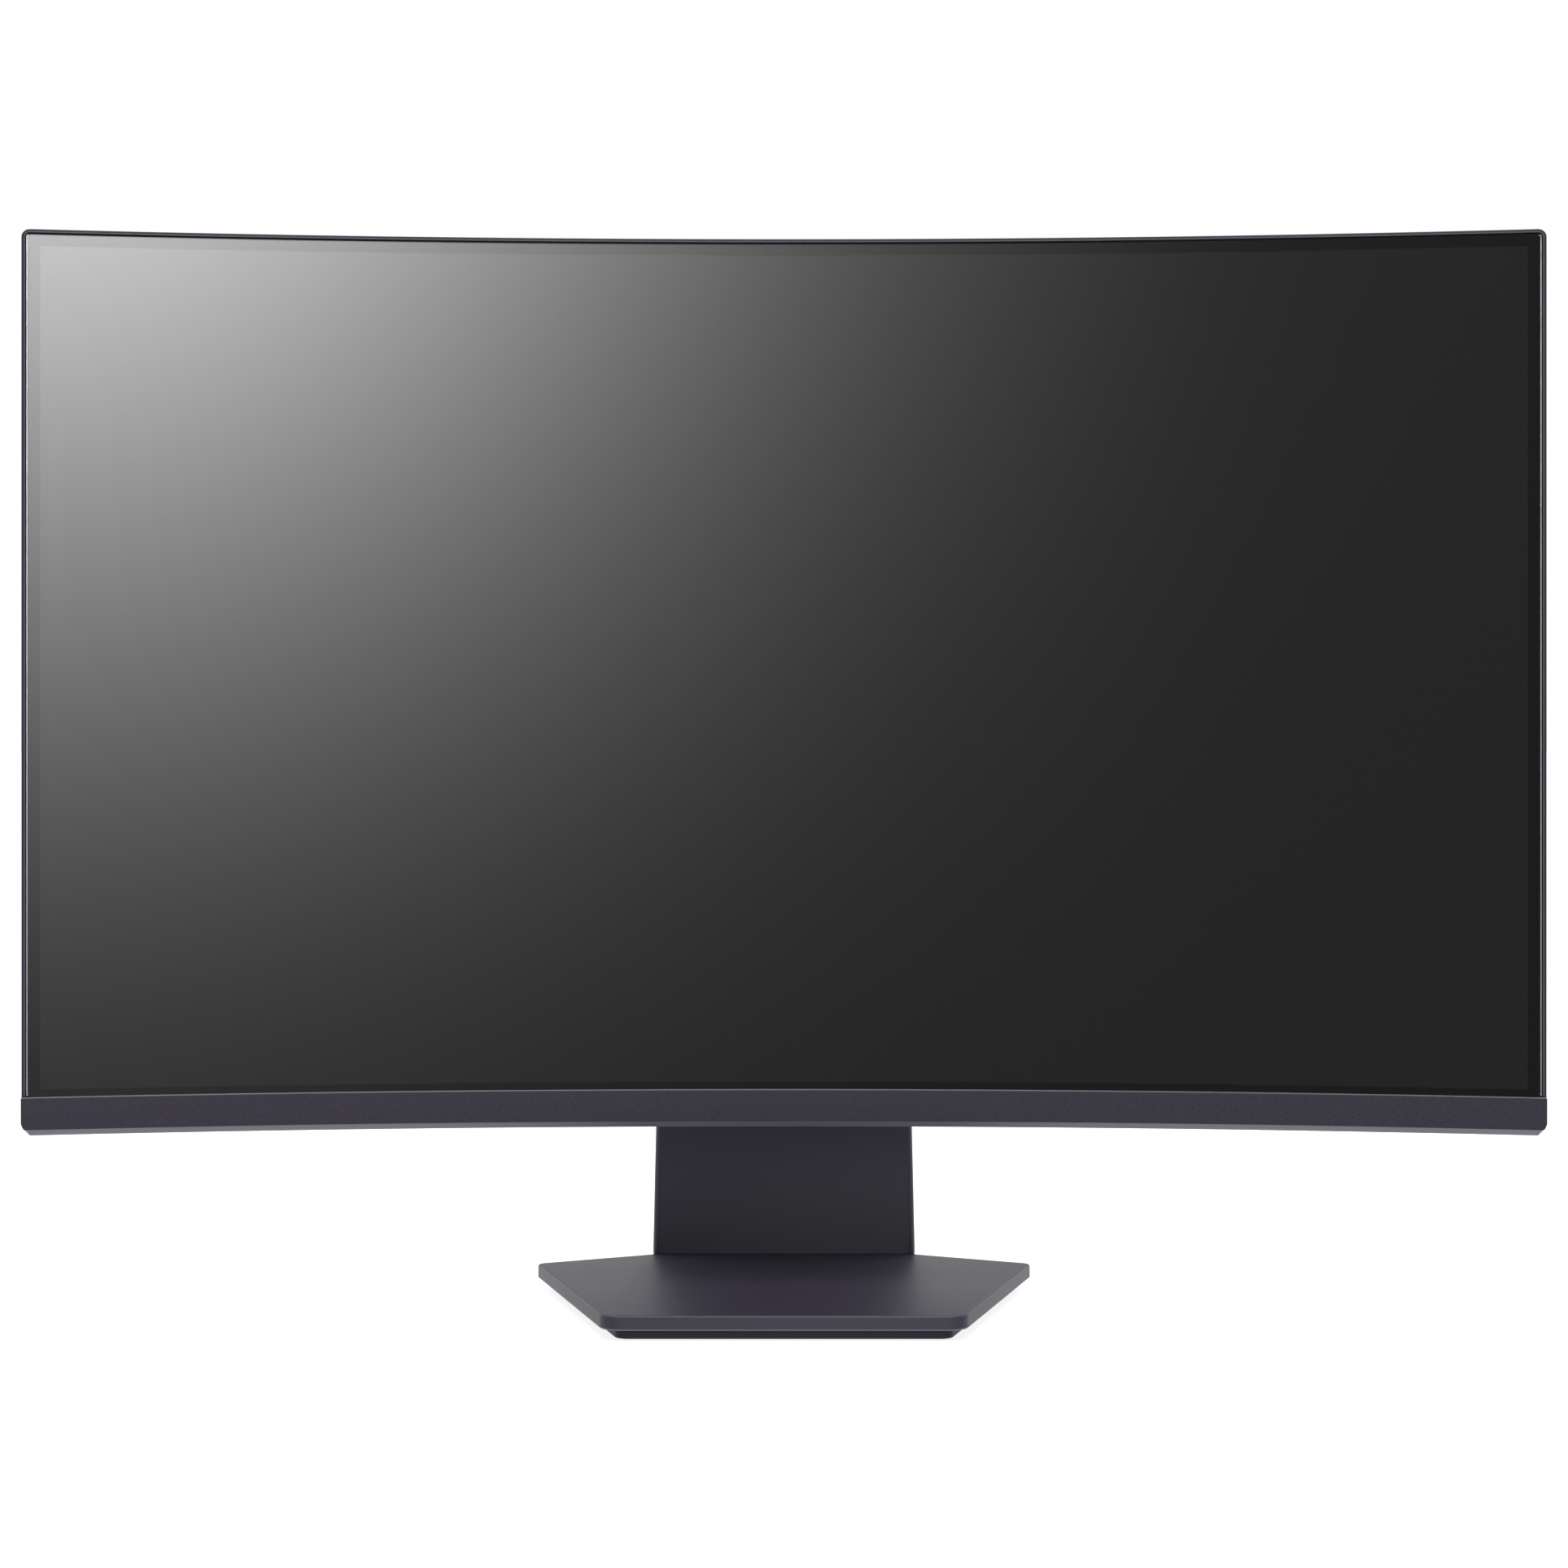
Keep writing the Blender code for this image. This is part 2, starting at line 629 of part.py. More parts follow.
def tilt_plate():
    """Display half of the hinge: a plate with a knuckle that turns on the shaft."""
    half = VESA_PLATE_HALF - 3
    obj = piece("tilt_plate", boxes((
        (-half, half), TILT_PLATE_Y, (HINGE_Z - half, HINGE_Z + half))), STEEL)
    join(obj, boxes((
        (-KNUCKLE_HALF + 0.4, KNUCKLE_HALF - 0.4), (TILT_PLATE_Y[1] - 1, HINGE_DEPTH),
        (HINGE_Z - 8, HINGE_Z + 8))))
    ends = ((-KNUCKLE_HALF, HINGE_DEPTH, HINGE_Z), (KNUCKLE_HALF, HINGE_DEPTH, HINGE_Z))
    join(obj, rods((*ends, KNUCKLE_RADIUS), sides=20))
    through = [(x * 2, y, z) for x, y, z in ends]
    cut(obj, rods((*through, SHAFT_RADIUS + GAP), sides=20))
    cut(obj, corner_rods(TILT_PLATE_Y[0] - 5, TILT_PLATE_Y[1] + 5, M4_RADIUS + GAP))
    return lay(obj)


def stand_screws():
    """Four M4 screws that fasten the tilt plate to the bracket."""
    seat = TILT_PLATE_Y[1] + GAP
    made = []
    for x in (-VESA_HALF, VESA_HALF):
        for z in (HINGE_Z - VESA_HALF, HINGE_Z + VESA_HALF):
            name = f"stand_screw_{len(made) + 1}"
            profile = [(0, 2.4), (3.2, 2.4), (4, 1.6), (4, 0), (M4_RADIUS, 0),
                       (M4_RADIUS, -9), (0, -10)]
            made.append(lay(turned(name, profile, toward((0, 1, 0), (x, seat, z)), STEEL, 12)))
    return made


# ------------------------------------------------------------- display electronics

def circuit_boards():
    """Main board, its shield, power board, timing board and joystick board."""
    main = piece("main_board", boxes(((-85, 85), BOARD_Y, (124, 226))), BOARD)
    join(main, boxes(
        ((-80, -50), (11, 13.5), (205, 213)), ((20, 50), (11, 15), (196, 220)),
        ((60, 78), (11, 17), (130, 150))))
    shield = piece("board_shield", boxes(((-45, 15), (12.0, 19.5), (152, 200))), SHEET_STEEL)
    open_faces(shield, lambda normal: normal.y < -0.9)
    solidify(shield, 0.8)
    power = piece("power_board", boxes(((-58, 58), BOARD_Y, (124, 226))), BOARD)
    join(power, boxes(
        ((-50, -20), (11, 21), (135, 165)), ((-8, 4), (11, 20), (135, 155)),
        ((14, 40), (11, 18), (170, 200)), ((-50, -30), (11, 19), (185, 215))))
    timing = piece("timing_board", boxes(((-112, 112), (9.0, 10.0), (452, 480))), BOARD)
    join(timing, boxes(((-20, 6), (9.5, 12), (458, 474)), ((60, 95), (9.5, 12), (460, 468))))
    stick = piece("joystick_board", boxes(
        ((-14, 14), (8.6, 10.2), (STICK_Z - 16, STICK_Z + 16))), BOARD)
    return [lay(main, IO_X), lay(shield, IO_X), lay(power, 85.0), lay(timing), lay(stick, STICK_X)]


def flat_flex_cable():
    """Ribbon from the main board up to the timing board, with two gentle waves."""
    low, high = 212.0, 466.0
    steps = 24

    def build(bm):
        rows = []
        for step in range(steps + 1):
            part = step / steps
            y = 14.4 + 1.2 * math.sin(part * 2 * math.pi) * math.sin(part * math.pi)
            z = low + (high - low) * part
            rows.append([bm.verts.new((x * MM, y * MM, z * MM)) for x in (-11, 11)])
        for below, above in zip(rows, rows[1:]):
            bm.faces.new((below[0], below[1], above[1], above[0]))

    obj = piece("flat_flex_cable", build, RIBBON)
    solidify(obj, 0.35)
    return lay(obj, -92.0)


def io_panel():
    """Flat metal plate round the connectors, set in the rear cover's window."""
    obj = piece("io_panel", boxes((
        (-IO_HALF, IO_HALF), IO_PLATE_Y, (IO_Z - IO_HALF_HEIGHT, IO_Z + IO_HALF_HEIGHT))),
        SHEET_STEEL)
    windows = []
    for _, x, half, height, _, _ in FLAT_PORTS:
        windows.append((
            (x - half - GAP, x + half + GAP), (15, 30), (IO_Z - height - GAP, IO_Z + height + GAP)))
    cut(obj, boxes(*windows))
    for _, x, radius, _, _ in ROUND_PORTS:
        cut(obj, rods(((x, 15, IO_Z), (x, 30, IO_Z), radius + GAP)))
    return lay(obj, IO_X)


def flat_port(name, x, half, height, mouth, mouth_height):
    """Rectangular socket with a contact tongue, facing backward."""
    obj = piece(name, boxes(((x - half, x + half), PORT_Y, (IO_Z - height, IO_Z + height))), STEEL)
    back = PORT_Y[1]
    cut(obj, boxes((
        (x - mouth, x + mouth), (back - 9, back + 5), (IO_Z - mouth_height, IO_Z + mouth_height))))
    join(obj, boxes(((x - mouth + 2, x + mouth - 2), (back - 10, back - 2), (IO_Z - 0.5, IO_Z + 0.5))))
    return lay(obj, IO_X)


def round_port(name, x, radius, bore, pin):
    """Round socket facing backward, with a centre pin where it has one."""
    back = PORT_Y[1] - PORT_Y[0]
    floor = 2.0
    profile = [(radius, 0), (radius, back), (bore, back), (bore, floor)]
    if pin:
        profile += [(pin, floor), (pin, back - 2), (0, back - 1.5)]
    else:
        profile.append((0, floor))
    outline = [(0, 0)] + profile
    obj = turned(
        name, outline[::-1], toward((0, 1, 0), (x, PORT_Y[0], IO_Z)), BLACK_PLASTIC)
    return lay(obj, IO_X)


def connectors():
    """All the sockets on the main board."""
    made = [flat_port(*values) for values in FLAT_PORTS]
    made += [round_port(*values) for values in ROUND_PORTS]
    return made


# -------------------------------------------------------------------- joystick

def joystick_housing():
    """Square cup behind the rear cover with bearings for the gimbal's pins."""
    y = STICK_PIVOT_Y
    obj = piece("joystick_housing", boxes((
        (-10.5, 10.5), (10.5, 23.2), (STICK_Z - 10.5, STICK_Z + 10.5))), BLACK_PLASTIC)
    cut(obj, rods(((0, 12.5, STICK_Z), (0, 30, STICK_Z), 8.6), sides=24))
    cut(obj, rods(((-9.8, y, STICK_Z), (9.8, y, STICK_Z), 1.4), sides=12))
    return lay(obj, STICK_X)


def joystick_gimbal():
    """Ring that rocks up and down on two pins along the screen."""
    y = STICK_PIVOT_Y
    profile = [(7.0, 1.5), (7.0, -1.5), (5.4, -1.5), (5.4, 1.5)]
    obj = turned(
        "joystick_gimbal", profile, toward((0, 1, 0), (0, y, STICK_Z)), WHITE_PLASTIC, 24, True)
    for side in (-1, 1):
        join(obj, rods(((side * 6.2, y, STICK_Z), (side * 9.4, y, STICK_Z), 0.9), sides=10))
    cut(obj, rods(((0, y, STICK_Z - 9), (0, y, STICK_Z + 9), 1.15), sides=10))
    return lay(obj, STICK_X)


def joystick_stick():
    """Stem on two upright pins that rocks from side to side inside the ring."""
    y = STICK_PIVOT_Y
    profile = [(0, 12.4), (2.2, 12.4), (2.2, 3.6), (3.6, 2.2), (4.0, 0), (3.6, -2.2),
               (2.2, -3.0), (0, -3.2)]
    obj = turned(
        "joystick_stick", profile, toward((0, 1, 0), (0, y, STICK_Z)), BLACK_PLASTIC, 16)
    join(obj, rods(((0, y, STICK_Z - 6.6), (0, y, STICK_Z + 6.6), 0.8), sides=10))
    return lay(obj, STICK_X)


def joystick_cap():
    """Dished cap that slides on the stem when it is pressed."""
    profile = [(0, 6.0), (2.5, 6.2), (4.6, 6.8), (5.5, 6.2), (5.5, 4.8), (4.2, 3.4),
               (4.2, 1.6), (5.4, 0.8), (5.4, 0), (2.5, 0), (2.5, 3.2), (0, 3.2)]
    place = toward((0, 1, 0), (0, 26.5, STICK_Z))
    return lay(turned("joystick_cap", profile, place, BLACK_PLASTIC, 20), STICK_X)


# ----------------------------------------------------------------------- hinge

def hinge_bracket():
    """Stand half of the hinge: a plate on the steel core with two lugs."""
    obj = piece("hinge_bracket", boxes((
        (-32, 32), BRACKET_PLATE_Y, (HINGE_Z - 22, HINGE_Z + 22))), STEEL)
    for side in (-1, 1):
        near, far = sorted((side * LUG_X[0], side * LUG_X[1]))
        join(obj, boxes((
            (near + 0.2, far - 0.2), (HINGE_Y, BRACKET_PLATE_Y[0] + 1),
            (HINGE_Z - LUG_RADIUS + 0.7, HINGE_Z + LUG_RADIUS - 0.7))))
        join(obj, rods(((near, HINGE_Y, HINGE_Z), (far, HINGE_Y, HINGE_Z), LUG_RADIUS), sides=20))
    cut(obj, rods(
        ((-40, HINGE_Y, HINGE_Z), (40, HINGE_Y, HINGE_Z), SHAFT_RADIUS + GAP), sides=20))
    cut(obj, bracket_rods(M4_RADIUS + GAP, BRACKET_PLATE_Y[0] - 5, BRACKET_PLATE_Y[1] + 5))
    return obj


def bracket_rods(radius, front, back):
    """Builder for the four screw holes of the hinge bracket."""
    return rods(*[((x, front, z), (x, back, z), radius) for x, z in BRACKET_SCREWS], sides=12)


def bracket_screws():
    """Four screws that hold the hinge bracket on the steel core."""
    made = []
    for x, z in BRACKET_SCREWS:
        name = f"bracket_screw_{len(made) + 1}"
        seat = BRACKET_PLATE_Y[0] - GAP
        profile = [(0, 2.2), (3.4, 2.2), (3.8, 1.4), (3.8, 0), (M4_RADIUS, 0),
                   (M4_RADIUS, -9), (0, -10)]
        made.append(turned(name, profile, toward((0, -1, 0), (x, seat, z)), STEEL, 12))
    return made


def hinge_pin_set():
    """Shaft with a head, two disc springs and the nut that sets the friction."""
    centre = (0, HINGE_Y, HINGE_Z)
    place = toward((1, 0, 0), centre)
    profile = [(0, 38.5), (SHAFT_RADIUS - 0.8, 38.5), (SHAFT_RADIUS, 37.7),
               (SHAFT_RADIUS, -27.3), (8, -27.3), (8, -31), (0, -31)]
    made = [turned("hinge_shaft", profile, place, STEEL, 20)]
    for index, start in enumerate((27.4, 29.8)):
        ring = [(5.4, start + 1.8), (10, start + 1.2), (10, start), (5.4, start + 0.6)]
        made.append(turned(f"disc_spring_{index + 1}", ring, place, STEEL, 16, True))
    nut = piece("hinge_nut", rods(
        ((32.2, HINGE_Y, HINGE_Z), (37.4, HINGE_Y, HINGE_Z), 9.0), sides=6), STEEL)
    cut(nut, rods(((20, HINGE_Y, HINGE_Z), (50, HINGE_Y, HINGE_Z), SHAFT_RADIUS + GAP)))
    made.append(nut)
    return made


def hinge_shroud():
    """Plastic sleeve round the hinge, open toward the display and the neck."""
    depth = (35.0, NECK_FRONT_Y - GAP)
    obj = piece("hinge_shroud", boxes(((-42, 42), depth, (HINGE_Z - 19, HINGE_Z + 19))),
                DARK_PLASTIC)
    round_edges(obj, lambda a, b: abs(a.y - b.y) > 10, 4.0, 3)
    cut(obj, boxes(((-39.6, 39.6), (20, 90), (HINGE_Z - 16.6, HINGE_Z + 16.6))))
    return obj


# ------------------------------------------------------------------------ neck

def neck_cover(name, outer, inner):
    """Half of the neck's tapering shell, closed at its outer face and its top."""
    depth = sorted((outer, inner))
    obj = piece(name, boxes((
        (-NECK_FOOT_HALF, NECK_FOOT_HALF), depth, (BASE_TOP + GAP, NECK_TOP))), DARK_PLASTIC)
    round_edges(
        obj, lambda a, b: abs(a.y - outer) < 0.1 and abs(b.y - outer) < 0.1
        and (abs(a.z - b.z) > 10 or min(a.z, b.z) > NECK_TOP - 1), 3.5, 3)
    for vert in obj.data.vertices:
        rise = (vert.co.z / MM - BASE_TOP) / (NECK_TOP - BASE_TOP)
        vert.co.x *= 1 + (NECK_TOP_HALF / NECK_FOOT_HALF - 1) * rise
    facing = 1 if inner > outer else -1
    open_faces(obj, lambda n: n.y * facing > 0.9 or n.z < -0.9)
    solidify(obj, NECK_WALL)
    return obj


def neck():
    """Two plastic covers round a steel channel, with the foot block at its bottom."""
    front = neck_cover("neck_front_cover", NECK_FRONT_Y, NECK_SPLIT_Y)
    cut(front, boxes(((-30, 30), (60, 80), (HINGE_Z - 15, HINGE_Z + 15))))
    rear = neck_cover("neck_rear_cover", NECK_BACK_Y, NECK_SPLIT_Y + GAP)
    core = piece("neck_steel_core", boxes(((-50, 50), (74, CORE_Y[1]), (12, 350))), SHEET_STEEL)
    cut(core, boxes(((-47.5, 47.5), (60, CORE_Y[0]), (0, 400))))
    cut(core, bracket_rods(M4_RADIUS + GAP, 75, 95))
    foot = piece("neck_foot_block", boxes(((-44, 44), (73, 81.7), (BASE_TOP + GAP, 26))), STEEL)
    cut(foot, rods(((0, THUMB_Y, 0), (0, THUMB_Y, 40), 3.3)))
    return [front, rear, core, foot]


def cable_clip():
    """Open hook on the back of the neck that gathers the leads."""
    def build(bm):
        centre = Vector((0, NECK_BACK_Y + GAP + CLIP_RADIUS))
        path = [centre + Vector((-14, -CLIP_RADIUS))]
        for step in range(15):
            angle = math.radians(-90 + 285 * step / 14)
            path.append(centre + CLIP_RADIUS * Vector((math.cos(angle), math.sin(angle))))
        rows = [[bm.verts.new((p.x * MM, p.y * MM, z * MM)) for z in CLIP_Z] for p in path]
        for one, two in zip(rows, rows[1:]):
            bm.faces.new((one[0], two[0], two[1], one[1]))

    obj = piece("cable_clip", build, DARK_PLASTIC)
    solidify(obj, 2.0)
    return obj


# ------------------------------------------------------------------------ base

def base():
    """Hexagonal cover on a smaller tray, with a steel plate between them."""
    cover = plate("base_cover", base_outline(0), BASE_RIM, BASE_TOP, DARK_PLASTIC)
    open_faces(cover, lambda normal: normal.z < -0.9)
    solidify(cover, BASE_WALL)
    cut(cover, rods(((0, THUMB_Y, 0), (0, THUMB_Y, 20), 4.0)))
    steel = plate("base_steel_plate", base_outline(BASE_WALL + GAP), *STEEL_PLATE_Z, STEEL)
    cut(steel, rods(((0, THUMB_Y, 0), (0, THUMB_Y, 20), 3.6)))
    tray = plate("base_tray", base_outline(TRAY_INSET), TRAY_BOTTOM, BASE_RIM, DARK_PLASTIC)
    cut(tray, rods(((0, THUMB_Y, -5), (0, THUMB_Y, 10), THUMB_RECESS), sides=24))
    for x, y in FOOT_PLACES:
        cut(tray, rods(((x, y, -5), (x, y, FOOT_TOP + GAP), FOOT_RADIUS + GAP), sides=16))
    made = [cover, steel, tray]
    for index, (x, y) in enumerate(FOOT_PLACES):
        profile = [(0, FOOT_TOP), (FOOT_RADIUS, FOOT_TOP), (FOOT_RADIUS, FOOT_BOTTOM + 0.5),
                   (FOOT_RADIUS - 0.5, FOOT_BOTTOM), (0, FOOT_BOTTOM)]
        made.append(turned(
            f"foot_pad_{index + 1}", profile, Matrix.Translation(Vector((x, y, 0)) * MM),
            RUBBER, 16))
    return made


def thumb_screw():
    """Captive screw under the base that holds the neck, with lugs for its ring."""
    profile = [(0, 22), (2.4, 22), (3, 21.2), (3, 4.4), (8, 4.4), (8, 2.9), (0, 2.9)]
    place = Matrix.Translation((0, THUMB_Y * MM, 0))
    obj = turned("thumb_screw", profile, place, STEEL, 24)
    for side in (-1, 1):
        near, far = sorted((side * 3.6, side * 5.6))
        join(obj, boxes(((near, far), (THUMB_Y - 1.5, THUMB_Y + 1.5), (0.6, 3.4))))
    bore = RING_WIRE + GAP
    cut(obj, rods(((-9, THUMB_Y, RING_Z), (9, THUMB_Y, RING_Z), bore), sides=12))
    return obj


def thumb_ring():
    """Wire loop that lies flat under the screw and swings down to be turned."""
    curve = bpy.data.curves.new("thumb_ring", "CURVE")
    curve.dimensions = "3D"
    curve.bevel_depth = RING_WIRE * MM
    curve.bevel_resolution = 2
    path = [(7.0, 0.0), (-7.0, 0.0)]
    for step in range(13):
        angle = math.pi + math.pi * step / 12
        path.append((7.8 * math.cos(angle), 7.8 * math.sin(angle) - 4.0))
    spline = curve.splines.new("POLY")
    spline.points.add(len(path) - 1)
    for point, (x, y) in zip(spline.points, path):
        point.co = (x * MM, (THUMB_Y + y) * MM, RING_Z * MM, 1.0)
    spline.use_cyclic_u = True
    drawn = bpy.data.objects.new("thumb_ring_wire", curve)
    PARTS.objects.link(drawn)
    bpy.context.view_layer.update()
    depsgraph = bpy.context.evaluated_depsgraph_get()
    mesh = bpy.data.meshes.new_from_object(drawn.evaluated_get(depsgraph))
    bpy.data.objects.remove(drawn)
    obj = bpy.data.objects.new("thumb_ring", mesh)
    PARTS.objects.link(obj)
    paint(obj, STEEL)
    return obj


# -------------------------------------------------------------------- assembly

def arc_place(x, depth, z):
    """Place, in millimetres, of a point given in the flat screen frame."""
    angle = x / SCREEN_RADIUS
    radius = SCREEN_RADIUS + depth
    return (radius * math.sin(angle), radius * math.cos(angle) + SCREEN_FRONT_Y - SCREEN_RADIUS, z)


def hold(origin, name, place, pieces):
    """Makes an empty at a joint's place and parents pieces to it where they stand."""
    empty = bpy.data.objects.new(name, None)
    PARTS.objects.link(empty)
    empty.parent = origin
    empty.matrix_basis = Matrix.Translation(Vector(place) * MM)
    for obj in pieces:
        apply_modifiers(obj)
        obj.parent = empty
        obj.matrix_parent_inverse = empty.matrix_basis.inverted()


def assemble():
    """Makes every piece and groups the pieces by the body they move with."""
    stand = [hinge_bracket(), *bracket_screws(), *hinge_pin_set(), hinge_shroud()]
    stand += [*neck(), cable_clip(), *base()]
    display = [front_frame(), chin(), *panel_stack(), rear_cover(), vent_grille()]
    display += [vesa_bracket(), tilt_plate(), *stand_screws(), *circuit_boards()]
    display += [flat_flex_cable(), io_panel(), *connectors(), joystick_housing()]
    pivot = arc_place(STICK_X, STICK_PIVOT_Y, STICK_Z)
    origin = bpy.data.objects.new("monitor_origin", None)
    PARTS.objects.link(origin)
    origin.location = (0, DEPTH_SHIFT * MM, RISE * MM)
    hold(origin, "stand_frame", (0, 0, 0), stand)
    hold(origin, "tilt_axis", (0, HINGE_Y, HINGE_Z), display)
    hold(origin, "gimbal_axis", pivot, [joystick_gimbal()])
    hold(origin, "stick_axis", pivot, [joystick_stick()])
    hold(origin, "cap_axis", pivot, [joystick_cap()])
    hold(origin, "screw_axis", (0, THUMB_Y, 0), [thumb_screw()])
    hold(origin, "ring_axis", (0, THUMB_Y, RING_Z), [thumb_ring()])


assemble()
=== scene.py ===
"""Finished surfaces, materials, lights and camera of a curved desktop monitor.

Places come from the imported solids. A display piece is drawn in the screen's flat
frame, in millimetres: x along the screen, y behind the front of the glass, z above
the desk. It is then bent round the centre of curvature that the solids have.
Lengths are in millimetres, but for the studio's, which are in metres.
"""
import math
from contextlib import contextmanager

import bmesh
import bpy
from mathutils import Matrix, Vector


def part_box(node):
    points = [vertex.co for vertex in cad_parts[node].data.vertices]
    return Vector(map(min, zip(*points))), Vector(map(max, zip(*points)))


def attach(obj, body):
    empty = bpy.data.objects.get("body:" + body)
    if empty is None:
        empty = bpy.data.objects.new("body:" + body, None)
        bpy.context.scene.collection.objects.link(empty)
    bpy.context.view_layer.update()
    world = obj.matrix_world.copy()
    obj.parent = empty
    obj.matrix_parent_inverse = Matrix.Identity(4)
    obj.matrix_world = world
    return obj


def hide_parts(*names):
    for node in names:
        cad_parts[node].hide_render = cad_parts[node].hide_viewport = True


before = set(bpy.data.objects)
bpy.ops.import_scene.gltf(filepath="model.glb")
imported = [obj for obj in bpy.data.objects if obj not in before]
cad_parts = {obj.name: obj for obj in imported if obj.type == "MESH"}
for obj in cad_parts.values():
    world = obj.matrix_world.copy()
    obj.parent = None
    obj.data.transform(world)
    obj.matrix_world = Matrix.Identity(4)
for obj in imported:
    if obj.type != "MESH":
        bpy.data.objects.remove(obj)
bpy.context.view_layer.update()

MM = 0.001
SCREEN_RADIUS = 1800.0


def span(node):
    """Lowest and highest corner of a solid at rest, in millimetres."""
    low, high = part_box(node)
    return low / MM, high / MM


def centre_of(node):
    """Middle of a solid's box at rest."""
    low, high = span(node)
    return (low + high) / 2


def middle_z(node):
    """Height of the middle of a solid's box at rest."""
    low, high = span(node)
    return (low.z + high.z) / 2


GLASS_THICKNESS = 1.4
GLASS_HIGH = span("lcd_panel")[1]
FRONT_Y = GLASS_HIGH.y - GLASS_THICKNESS


def arc_half(node, depth):
    """Half length along the screen of a solid that is widest at a given depth."""
    return SCREEN_RADIUS * math.asin(span(node)[1].x / (SCREEN_RADIUS + depth))


def bent(point):
    """World place of a point given in the screen's flat frame."""
    angle = point[0] / SCREEN_RADIUS
    radius = SCREEN_RADIUS + point[1]
    return Vector((
        radius * math.sin(angle), radius * math.cos(angle) - SCREEN_RADIUS + FRONT_Y, point[2]))


def straight(point):
    """World place of a point that is already in world millimetres."""
    return Vector(point)


def laid(x):
    """Placer for a rigid piece that lies against the screen's curve at arc length x."""
    centre = Vector((0, FRONT_Y - SCREEN_RADIUS, 0))
    turn = Matrix.Rotation(-x / SCREEN_RADIUS, 3, "Z")

    def place(point):
        return centre + turn @ Vector((point[0], point[1] + SCREEN_RADIUS, point[2]))
    return place


# ------------------------------------------------------------------- materials

NOISE_RANGE = (0.3, 0.7)  # where nearly all of a noise texture's values lie
TONE_SWING = 0.28
SLOW_TONES = (0.42, 0.58)
SLOW_GRAIN = 9.0
STAIN_GRAIN = 40.0
HAZE_GRAIN = 2600.0
CELL_GRAIN = 900.0
TRACK_GRAIN = 220.0
METAL_BUMP = 0.00001
HAZE_BUMP = 0.000004
TRACK_BUMP = 0.00003


def settled(node, **values):
    """Sets a node's inputs or attributes by name."""
    for key, value in values.items():
        title = key.replace("_", " ").title()
        if title in node.inputs:
            node.inputs[title].default_value = value
        else:
            setattr(node, key, value)
    return node


def node_of(tree, kind, **values):
    """Adds a shader node with some settings."""
    return settled(tree.nodes.new("ShaderNode" + kind), **values)


def link(source, target):
    """Joins an output socket to an input socket."""
    target.id_data.links.new(source, target)


def shader(name, colour, roughness, metallic=0.0, specular=0.5):
    """New material; returns it with its tree, shader node and position socket."""
    material = bpy.data.materials.new(name)
    material.use_nodes = True
    tree = material.node_tree
    main = tree.nodes["Principled BSDF"]
    settled(main, base_color=(*colour, 1.0), roughness=roughness, metallic=metallic)
    main.inputs["Specular IOR Level"].default_value = specular
    place = node_of(tree, "TexCoord").outputs["Object"]
    return material, tree, main, place


def noise(tree, place, per_metre, detail=2.0, roughness=0.5, stretch=None):
    """Noise of a given fineness; stretch scales its x, y and z."""
    if stretch:
        mapping = node_of(tree, "Mapping")
        mapping.inputs["Scale"].default_value = stretch
        link(place, mapping.inputs["Vector"])
        place = mapping.outputs["Vector"]
    made = node_of(tree, "TexNoise", scale=per_metre, detail=detail, roughness=roughness)
    link(place, made.inputs["Vector"])
    return made.outputs["Fac"]


def remap(tree, value, low, high):
    """Maps a noise value from its usual range to low..high."""
    made = node_of(
        tree, "MapRange", from_min=NOISE_RANGE[0], from_max=NOISE_RANGE[1], to_min=low,
        to_max=high)
    link(value, made.inputs["Value"])
    return made.outputs["Result"]


def tint(tree, value, dark, light, main):
    """Colours a shader between two colours by a value."""
    made = node_of(tree, "Mix", data_type="RGBA")
    made.inputs["A"].default_value = (*dark, 1.0)
    made.inputs["B"].default_value = (*light, 1.0)
    link(value, made.inputs["Factor"])
    link(made.outputs["Result"], main.inputs["Base Color"])


def bump(tree, height, main, distance, strength):
    """Adds a bump of a height value to a shader."""
    made = node_of(tree, "Bump", strength=strength, distance=distance)
    link(height, made.inputs["Height"])
    link(made.outputs["Normal"], main.inputs["Normal"])


def moulded(name, colour, roughness=0.5, grain=1700.0, depth=0.00004, speckle=0.18, specular=0.5):
    """Spark-textured plastic: fine pits, a faint speckle and slow tone changes."""
    material, tree, main, place = shader(name, colour, roughness, specular=specular)
    pits = noise(tree, place, grain, detail=3.0, roughness=0.65)
    slow = noise(tree, place, SLOW_GRAIN)
    mixed = node_of(tree, "Math", operation="ADD")
    link(remap(tree, pits, -speckle, speckle), mixed.inputs[0])
    link(remap(tree, slow, *SLOW_TONES), mixed.inputs[1])
    dark = [c * (1 - TONE_SWING) for c in colour]
    light = [c * (1 + TONE_SWING) for c in colour]
    tint(tree, mixed.outputs[0], dark, light, main)
    link(remap(tree, pits, roughness - 0.06, roughness + 0.08), main.inputs["Roughness"])
    bump(tree, pits, main, depth, 0.6)
    return material


def metal(name, colour, roughness, stretch=(1, 1, 1), grain=900.0):
    """Plated or rolled steel with fine drawn marks and faint stains."""
    material, tree, main, place = shader(name, colour, roughness, metallic=1.0)
    lines = noise(tree, place, grain, stretch=stretch)
    stains = noise(tree, place, STAIN_GRAIN, detail=4.0)
    tint(tree, stains, [c * 0.86 for c in colour], [c * 1.1 for c in colour], main)
    link(remap(tree, lines, roughness - 0.04, roughness + 0.06), main.inputs["Roughness"])
    bump(tree, lines, main, METAL_BUMP, 0.3)
    return material


